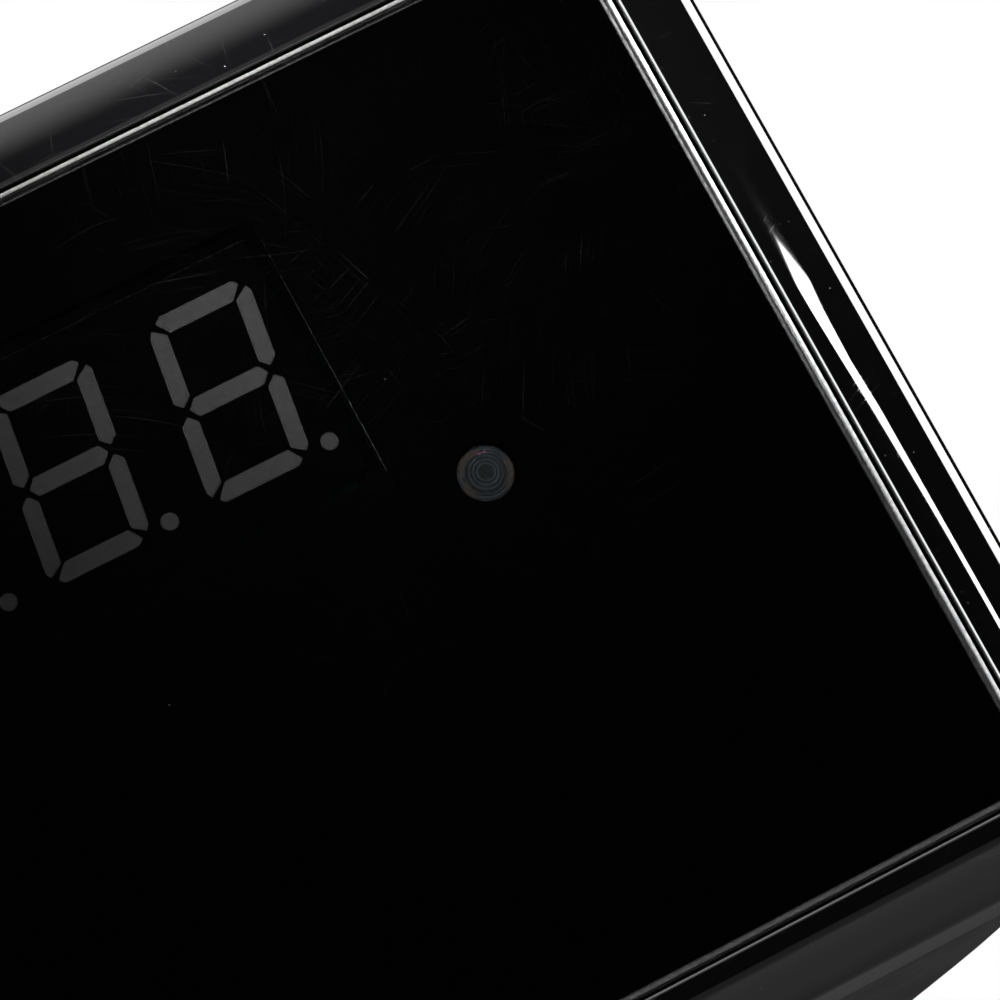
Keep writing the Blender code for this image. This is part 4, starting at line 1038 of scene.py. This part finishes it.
def build_buttons():
    """Three dished keys with raised signs, rounded rims and stop flanges."""
    for name in BUTTONS:
        low, high = box(name)
        x, y = (low[0] + high[0]) / 2, (low[1] + high[1]) / 2
        top, bottom = high[2], low[2]
        flange_top = box("housing_left")[1][2] - 2.8
        dish = 0.7
        profile = [(0.0, top - dish)]
        profile += [(r, top - dish * (1 - (r / 5.2) ** 2)) for r in np.linspace(0.6, 5.2, 9)]
        profile += arc((5.5, top - 0.9), 0.9, 80, 0, 7)
        profile += [(6.4, flange_top + 0.15), (6.55, flange_top), (7.5, flange_top), (7.7, flange_top - 0.2)]
        profile += [(7.7, flange_top - 1.0), (7.5, flange_top - 1.2), (2.0, flange_top - 1.2)]
        profile += [(2.0, bottom + 0.2), (1.8, bottom), (0.0, bottom)]
        key = turned(name, profile, (x, y, 0), "Z", 96)
        symbol = button_symbol(name, x, y, top - 1.1, top - 0.25)
        piece(f"{name}_key", carved(key, symbol, "UNION"), "grey_plastic", name, [name], 35)


def build_foot():
    """The rubber pad, with concentric treads on its underside."""
    low, high = box("foot_pad")
    width, depth = (high - low)[:2]
    radius, top = 15.0, high[2]
    steps = [(2.0, top), (0.35, top), (0.0, top - 0.35), (0.0, 0.5), (0.5, 0.0)]
    for inset in (4.0, 8.5, 13.0):
        steps += [(inset, 0.0), (inset + 0.4, 0.7), (inset + 1.6, 0.7), (inset + 2.0, 0.0)]
    rings = []
    for inset, z in steps:
        corner = max(radius - inset, 1.0)
        outline = rounded_rectangle(width - 2 * inset, depth - 2 * inset, corner, 14, side=4)
        rings.append(ring_at(outline, 2, z))
    piece("foot_pad_treaded", loft("foot_pad", rings), "black_rubber", replaces=["foot_pad"], angle=40)


def build_screws():
    """Six pan-head screws with a six-lobed recess. They share one mesh."""
    low, high = box("housing_screw_1")
    length = high[0] - low[0]
    head = [(0.0, length)]
    head += arc((0.0, length - 4.6), 4.6, 86, 58, 6)
    head += [(2.78, length - 1.1), (2.78, length - 2.05), (2.65, length - 2.2), (1.5, length - 2.2)]
    turns = int((length - 4) / 0.9)
    for turn in range(turns):
        z = length - 2.6 - turn * 0.9
        head += [(1.15, z), (1.15, z - 0.3), (1.5, z - 0.45), (1.5, z - 0.5), (1.15, z - 0.65)]
    head += [(1.1, 1.0), (0.0, 0.0)]
    angles = np.linspace(0, math.tau, 72, endpoint=False)
    lobes = 1.32 + 0.2 * np.cos(6 * angles)
    outline = np.stack((lobes * np.cos(angles), lobes * np.sin(angles)), 1)
    recess = loft("recess", [
        ring_at(outline * size, 0, x)
        for x, size in ((length + 1, 1.0), (length - 1.2, 1.0), (length - 1.6, 0.6))
    ])
    mesh = carved(turned("screw", head, (0, 0, 0), "X", 48), recess)
    for number in range(1, 7):
        low, high = box(f"housing_screw_{number}")
        centre = (low + high) / 2
        made = piece(f"case_screw_{number}", mesh, "steel", None, angle=32)
        made.location = Vector((low[0], centre[1], centre[2])) * MM
        made.rotation_euler = (0.7 * number, 0, 0)
        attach(made, BODY)
        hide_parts(f"housing_screw_{number}")


def build_socket():
    """The multi-pin inlet: rolled flange, keyway, and three round-nosed pins."""
    low, high = box("lead_socket")
    z = (low[2] + high[2]) / 2
    face = high[1]
    profile = [(5.2, face - 0.25), (5.45, face), (8.4, face)]
    profile += arc((8.4, face - 0.8), 0.8, 80, 0, 5)
    profile += [(9.2, face - 2.1), (7.0, face - 2.1), (7.0, low[1] + 0.4), (6.6, low[1]), (1.0, low[1]),
                (1.0, 36.0), (5.2, 36.0)]
    body = turned("socket", profile, (0, 0, z), "Y", 96, closed=True)
    key = bevelled_box("key", (-0.9, 37.5, z + 4.6), (0.9, face + 1, z + 6.2), 0.2)
    piece("lead_inlet", carved(body, key), "satin_black", replaces=["lead_socket"], angle=35)
    for pin in range(1, 4):
        pin_low, pin_high = box(f"socket_pin_{pin}")
        x, pin_z = (pin_low[0] + pin_high[0]) / 2, (pin_low[2] + pin_high[2]) / 2
        length = pin_high[1] - pin_low[1]
        shape = [(0.0, 0.0), (0.75, 0.0), (0.75, length - 0.75)] + arc((0, length - 0.75), 0.75, 15, 90, 6)
        shape[-1] = (0.0, length)
        piece(f"inlet_pin_{pin}", turned("pin", shape, (x, pin_low[1], pin_z), "Y", 32), "brass",
              replaces=[f"socket_pin_{pin}"], angle=40)


# ---------------------------------------------------------------- the lamp

def on_barrel(name, profile, steps=160, closed=False):
    """A solid turned round the barrel's axis."""
    return turned(name, profile, (0, 0, HEAD_Z), "Y", steps, closed)


def build_nose():
    """The rubber nose with grip rings, and the anodised ring that holds the lens."""
    low, high = box("nose_ring")
    start, end, radius = low[1], high[1], 35.0
    seat = box("lens_retainer")[1][1] + 0.3
    profile = [(29.3, end - 0.4), (29.7, end)]
    profile += arc((radius - 3.0, end - 3.0), 3.0, 90, 0, 10)
    for y in np.arange(end - 6.0, start + 6.0, -3.6):
        profile += [(radius, y + 1.4), (radius - 0.25, y + 0.9), (radius - 0.9, y + 0.45)]
        profile += [(radius - 0.9, y - 0.45), (radius - 0.25, y - 0.9), (radius, y - 1.4)]
    profile += [(radius, start + 2.0)] + arc((radius - 1.2, start + 1.2), 1.2, 0, -90, 6)
    profile += [(31.9, start), (31.9, 118.0), (30.9, 118.0), (30.9, seat), (27.3, seat), (27.0, seat + 0.3),
                (27.0, end - 2.4)]
    boot = on_barrel("nose", profile, closed=True)
    piece("nose_boot", boot, "black_rubber", replaces=["nose_ring"], angle=32)
    low, high = box("lens_retainer")
    back, front = low[1], high[1]
    profile = [(30.6, front - 0.3), (30.6, back), (27.9, back), (27.9, back + 1.6), (26.4, back + 2.8),
               (26.4, front - 0.5), (26.7, front - 0.15), (27.2, front), (30.3, front)]
    ring = on_barrel("retainer", profile, closed=True)
    piece("lens_ring", ring, "black_aluminium", replaces=["lens_retainer"], angle=32)


def build_lamp():
    """Convex lens, mirror reflector, and the flash tube with electrodes and trigger wire."""
    low, high = box("front_lens")
    radius, back, crown = 27.6, low[1], high[1] - low[1] - 2.0
    sphere = (radius ** 2 + crown ** 2) / (2 * crown)
    profile = [(0.0, back), (radius - 0.2, back), (radius, back + 0.2), (radius, back + 2.0)]
    for r in np.linspace(radius, 0, 30)[1:]:
        profile.append((r, back + 2.0 + math.sqrt(sphere ** 2 - r * r) - (sphere - crown)))
    piece("convex_lens", on_barrel("lens", profile), "lens_glass", replaces=["front_lens"], angle=40)
    low, high = box("reflector")
    focus, hole, mouth = 7.0, 6.0, 25.5
    vertex = high[1] - mouth ** 2 / (4 * focus)
    radii = np.linspace(hole, mouth, 40)
    rim = high[1]
    profile = [(radius, rim), (radius, rim - 0.9)]
    profile += [(r + 0.7, vertex + r * r / (4 * focus) - 0.7) for r in radii[::-1]]
    profile += [(r, vertex + r * r / (4 * focus)) for r in radii]
    mirror = on_barrel("mirror", profile, 128, closed=True)
    piece("mirror", mirror, "reflector", replaces=["reflector"], angle=50)
    low, high = box("flash_tube")
    tube = 2.5
    profile = [(0.0, low[1])] + arc((0.0, low[1] + tube), tube, -80, 0, 7)
    profile += arc((0.0, high[1] - tube), tube, 0, 80, 7) + [(0.0, high[1])]
    piece("xenon_tube", on_barrel("tube", profile, 64), "lens_glass", replaces=["flash_tube"], angle=50)
    electrodes = []
    for start, end in ((low[1] + 1.2, low[1] + 9.0), (high[1] - 7.0, high[1] - 1.2)):
        tip = [(0, 0), (0.45, 0), (0.5, 0.1), (0.5, end - start - 0.6), (1.1, end - start - 0.5),
               (1.1, end - start), (0, end - start)]
        if start > low[1] + 5:
            tip = [(r, end - start - d) for r, d in tip[::-1]]
        electrodes.append(on_barrel("electrode", [(r, start + d) for r, d in tip], 32))
    piece("tube_electrodes", joined("electrodes", electrodes), "steel")
    build_trigger_wire(low[1] + 5.5, high[1] - 5.5, tube + 0.22)
    low, high = box("tube_cap")
    profile = [(0.0, high[1]), (1.9, high[1])] + arc((2.2, high[1] - 1.1), 1.1, 75, 0, 5)
    profile += [(3.4, high[1] - 1.6), (3.4, low[1] + 0.2), (3.2, low[1]), (2.8, low[1]), (2.8, high[1] - 2.0),
                (0.0, high[1] - 2.0)]
    piece("tube_end_cap", on_barrel("cap", profile, 64), "steel", replaces=["tube_cap"])


def build_trigger_wire(start, end, radius):
    """The fine ignition wire wound round the flash tube."""
    path = bpy.data.curves.new("ignition_wire", "CURVE")
    path.dimensions = "3D"
    path.bevel_depth = 0.2 * MM
    path.bevel_resolution = 3
    path.use_fill_caps = True
    spline = path.splines.new("POLY")
    turns, per_turn = 7, 24
    count = turns * per_turn
    spline.points.add(count)
    for i, point in enumerate(spline.points):
        angle = math.tau * i / per_turn
        place = Vector((radius * math.cos(angle), start + (end - start) * i / count,
                        HEAD_Z + radius * math.sin(angle)))
        point.co = (*(place * MM), 1)
    made = placed("ignition_wire", path)
    path.materials.append(FINISHES["steel"])
    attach(made, BODY)


CARRIED = {
    "circuit_board": ["display_board", "main_board", "key_board"],
    "satin_black": ["trigger_switch", "key_switch_down", "key_switch_mode", "key_switch_up", "trigger_coil",
                    "supply_wire_black"],
    "ceramic": ["tube_holder"],
    "ferrite": ["inverter_core"],
    "winding": ["inverter_winding_rear", "inverter_winding_front"],
    "capacitor": ["flash_capacitor"],
    "red_wire": ["supply_wire_red"],
    "steel": [f"board_screw_{number}" for number in range(1, 5)],
}


def finish_carried():
    """The inner CAD pieces keep their shape and take a finished material."""
    for finish, names in CARRIED.items():
        for name in names:
            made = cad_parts[name]
            for place in made.material_slots:
                place.link = "OBJECT"
                place.material = FINISHES[finish]


build_panel()
build_housing()
build_sleeve()
build_trigger()
build_buttons()
build_foot()
build_screws()
build_socket()
build_nose()
build_lamp()
finish_carried()


# ---------------------------------------------------------------- studio

def lamp(name, kind, place, aim, power, **settings):
    """A light turned towards its aim."""
    data = bpy.data.lights.new(name, kind)
    data.energy = power
    for key, value in settings.items():
        setattr(data, key, value)
    made = placed(name, data)
    made.location = place
    made.rotation_euler = (Vector(aim) - Vector(place)).to_track_quat("-Z", "Y").to_euler()
    return made


def area_light(name, place, aim, size, power, glossy=True, diffuse=True):
    """A rectangular light that the camera doesn't see."""
    made = lamp(name, "AREA", place, aim, power, shape="RECTANGLE", size=size[0], size_y=size[1])
    made.visible_camera = False
    made.visible_glossy = glossy
    made.visible_diffuse = diffuse


SKY_IN_REFLECTIONS = {"From Min": 0.38, "From Max": 0.95, "To Min": 0.006, "To Max": 0.55}  # by height
SKY_FOR_DIFFUSE = 0.7


def build_world():
    """White to the camera, soft for diffuse light, and dark for reflections except from above."""
    world = bpy.data.worlds.new("studio")
    bpy.context.scene.world = world
    world.use_nodes = True
    nodes, links = world.node_tree.nodes, world.node_tree.links
    nodes.clear()

    def node(kind, **settings):
        made = nodes.new(kind)
        for key, value in settings.items():
            setattr(made, key, value)
        return made

    path = node("ShaderNodeLightPath")
    up = node("ShaderNodeSeparateXYZ")
    links.new(node("ShaderNodeTexCoord").outputs["Generated"], up.inputs[0])
    ramp = node("ShaderNodeMapRange", interpolation_type="SMOOTHSTEP")
    links.new(up.outputs[2], ramp.inputs["Value"])
    for name, value in SKY_IN_REFLECTIONS.items():
        ramp.inputs[name].default_value = value
    glossy = node("ShaderNodeMix", data_type="FLOAT")
    links.new(path.outputs["Is Glossy Ray"], glossy.inputs[0])
    glossy.inputs[2].default_value = SKY_FOR_DIFFUSE
    links.new(ramp.outputs[0], glossy.inputs[3])
    seen = node("ShaderNodeMix", data_type="FLOAT")
    links.new(path.outputs["Is Camera Ray"], seen.inputs[0])
    links.new(glossy.outputs[0], seen.inputs[2])
    seen.inputs[3].default_value = 1.0
    background = node("ShaderNodeBackground")
    background.inputs["Color"].default_value = rgba(1.0)
    links.new(seen.outputs[0], background.inputs["Strength"])
    output = node("ShaderNodeOutputWorld")
    links.new(background.outputs[0], output.inputs["Surface"])


FLOOR_REACH = 4000.0
FLOOR_FADE = (350, 1000)  # where the floor starts to whiten, and where it is white


def build_floor():
    """A wide pale floor that fades to white far off, dim in reflections and clear from below."""
    s = Shader("floor_paper")
    tone = s.mix(s.noise(60, 4), 0.86, 0.90)
    path = s.add("ShaderNodeLightPath").node
    tone = s.mix(path.outputs["Is Glossy Ray"], tone, 0.07)
    paper = s.principled(tone, 0.85, s.bump(s.noise(0.8, 3), 0.01), specular=0.1)
    distance = s.add("ShaderNodeVectorMath", "Value", {0: s.place}, operation="LENGTH")
    far = s.times(s.span(distance, *FLOOR_FADE), path.outputs["Is Camera Ray"])
    white = s.add("ShaderNodeEmission", 0, {"Color": rgba(1.0), "Strength": 1.0})
    paper = s.add("ShaderNodeMixShader", 0, {0: far, 1: paper, 2: white})
    below = s.add("ShaderNodeNewGeometry", "Backfacing")
    clear = s.add("ShaderNodeBsdfTransparent")
    paper = s.done(s.add("ShaderNodeMixShader", 0, {0: below, 1: paper, 2: clear}))
    corners = [(FLOOR_REACH * a, FLOOR_REACH * b, 0.0) for a, b in ((-1, -1), (1, -1), (1, 1), (-1, 1))]
    mesh = mesh_of("floor", corners, [(0, 1, 2, 3)])
    mesh.materials.append(paper)
    placed("floor", mesh)


CAMERA_AZIMUTH = math.radians(-10.03)
CAMERA_ELEVATION = math.radians(-10.92)
CAMERA_ROLL = math.radians(-28.77)
CAMERA_DISTANCE = 0.450
CAMERA_LENS = 231.07
CAMERA_TARGET = Vector((22.14, REAR_Y, HEAD_Z - 0.27)) * MM


def build_camera():
    """A long lens close to the panel's upper right, rolled anticlockwise."""
    azimuth, elevation = CAMERA_AZIMUTH, CAMERA_ELEVATION
    back = Vector((
        math.sin(azimuth) * math.cos(elevation), -math.cos(azimuth) * math.cos(elevation), math.sin(elevation)
    ))
    right = (-back).cross(Vector((0, 0, 1))).normalized()
    up = right.cross(-back)
    across = right * math.cos(CAMERA_ROLL) + up * math.sin(CAMERA_ROLL)
    upward = -right * math.sin(CAMERA_ROLL) + up * math.cos(CAMERA_ROLL)
    data = bpy.data.cameras.new("camera")
    data.lens = CAMERA_LENS
    data.sensor_width = 36.0
    data.clip_start = 0.01
    data.clip_end = 50.0
    made = placed("camera", data)
    turn = Matrix((across, upward, back)).transposed()
    made.matrix_world = Matrix.Translation(CAMERA_TARGET + back * CAMERA_DISTANCE) @ turn.to_4x4()
    bpy.context.scene.camera = made


KEY_DISTANCE = 0.9
KEY_OUTLINE = (
    (0.359, 22.0, 23.0), (0.348, 17.3, 31.2), (0.341, 17.8, 28.6), (0.329, 20.0, 27.2), (0.317, 22.4, 29.4),
    (0.287, 25.4, 29.5), (0.180, 26.5, 29.5),
)


def build_softbox(rim):
    """A shaped softbox to the right, seen in the bezel: rows of height, and bearings of its two sides."""
    points = []
    for height, *bearings in KEY_OUTLINE:
        for bearing in np.radians(bearings):
            place = rim + KEY_DISTANCE * Vector((math.sin(bearing), -math.cos(bearing), 0))
            points.append(Vector((place.x, place.y, height)) / MM)
    faces = [(2 * i, 2 * i + 1, 2 * i + 3, 2 * i + 2) for i in range(len(KEY_OUTLINE) - 1)]
    s = Shader("softbox")
    strength = s.patchy(90, 1, 9.0, 10.0)
    mesh = mesh_of("softbox", points, faces)
    mesh.materials.append(s.done(s.add("ShaderNodeEmission", 0, {"Color": rgba(1.0), "Strength": strength})))
    made = placed("softbox", mesh)
    made.visible_camera = False
    made.visible_shadow = False


def build_spot(place, aim, power, cone):
    """A soft-edged lamp on the display, with no reflection of its own."""
    settings = {"spot_size": cone, "spot_blend": 1.0, "shadow_soft_size": 0.02}
    lamp("display_lamp", "SPOT", place, aim, power, **settings).visible_glossy = False


def build_lights():
    head = (0, 0, HEAD_Z * MM)
    rim = Vector((48, REAR_Y, 172)) * MM
    build_softbox(rim)
    build_spot((0.05, -0.50, 0.25), (0.021, REAR_Y * MM, 0.194), 130.0, math.radians(8.6))
    area_light("key", (0.47, -0.85, 0.35), rim, (0.40, 0.34), 4.0, glossy=False)
    area_light("left", (-1.04, -0.66, 0.35), rim, (0.9, 0.7), 10.0, diffuse=False)
    area_light("side", (0.99, -0.20, 0.35), (0.05, -0.06, 0.20), (0.80, 0.9), 12.8)
    area_light("fill", (-1.1, 0.55, 0.55), head, (0.9, 0.9), 5.0)
    area_light("top", (0.0, 0.15, 1.3), head, (1.1, 1.1), 6.0)


build_world()
build_floor()
build_camera()
build_lights()
bpy.context.scene.view_settings.view_transform = "Standard"
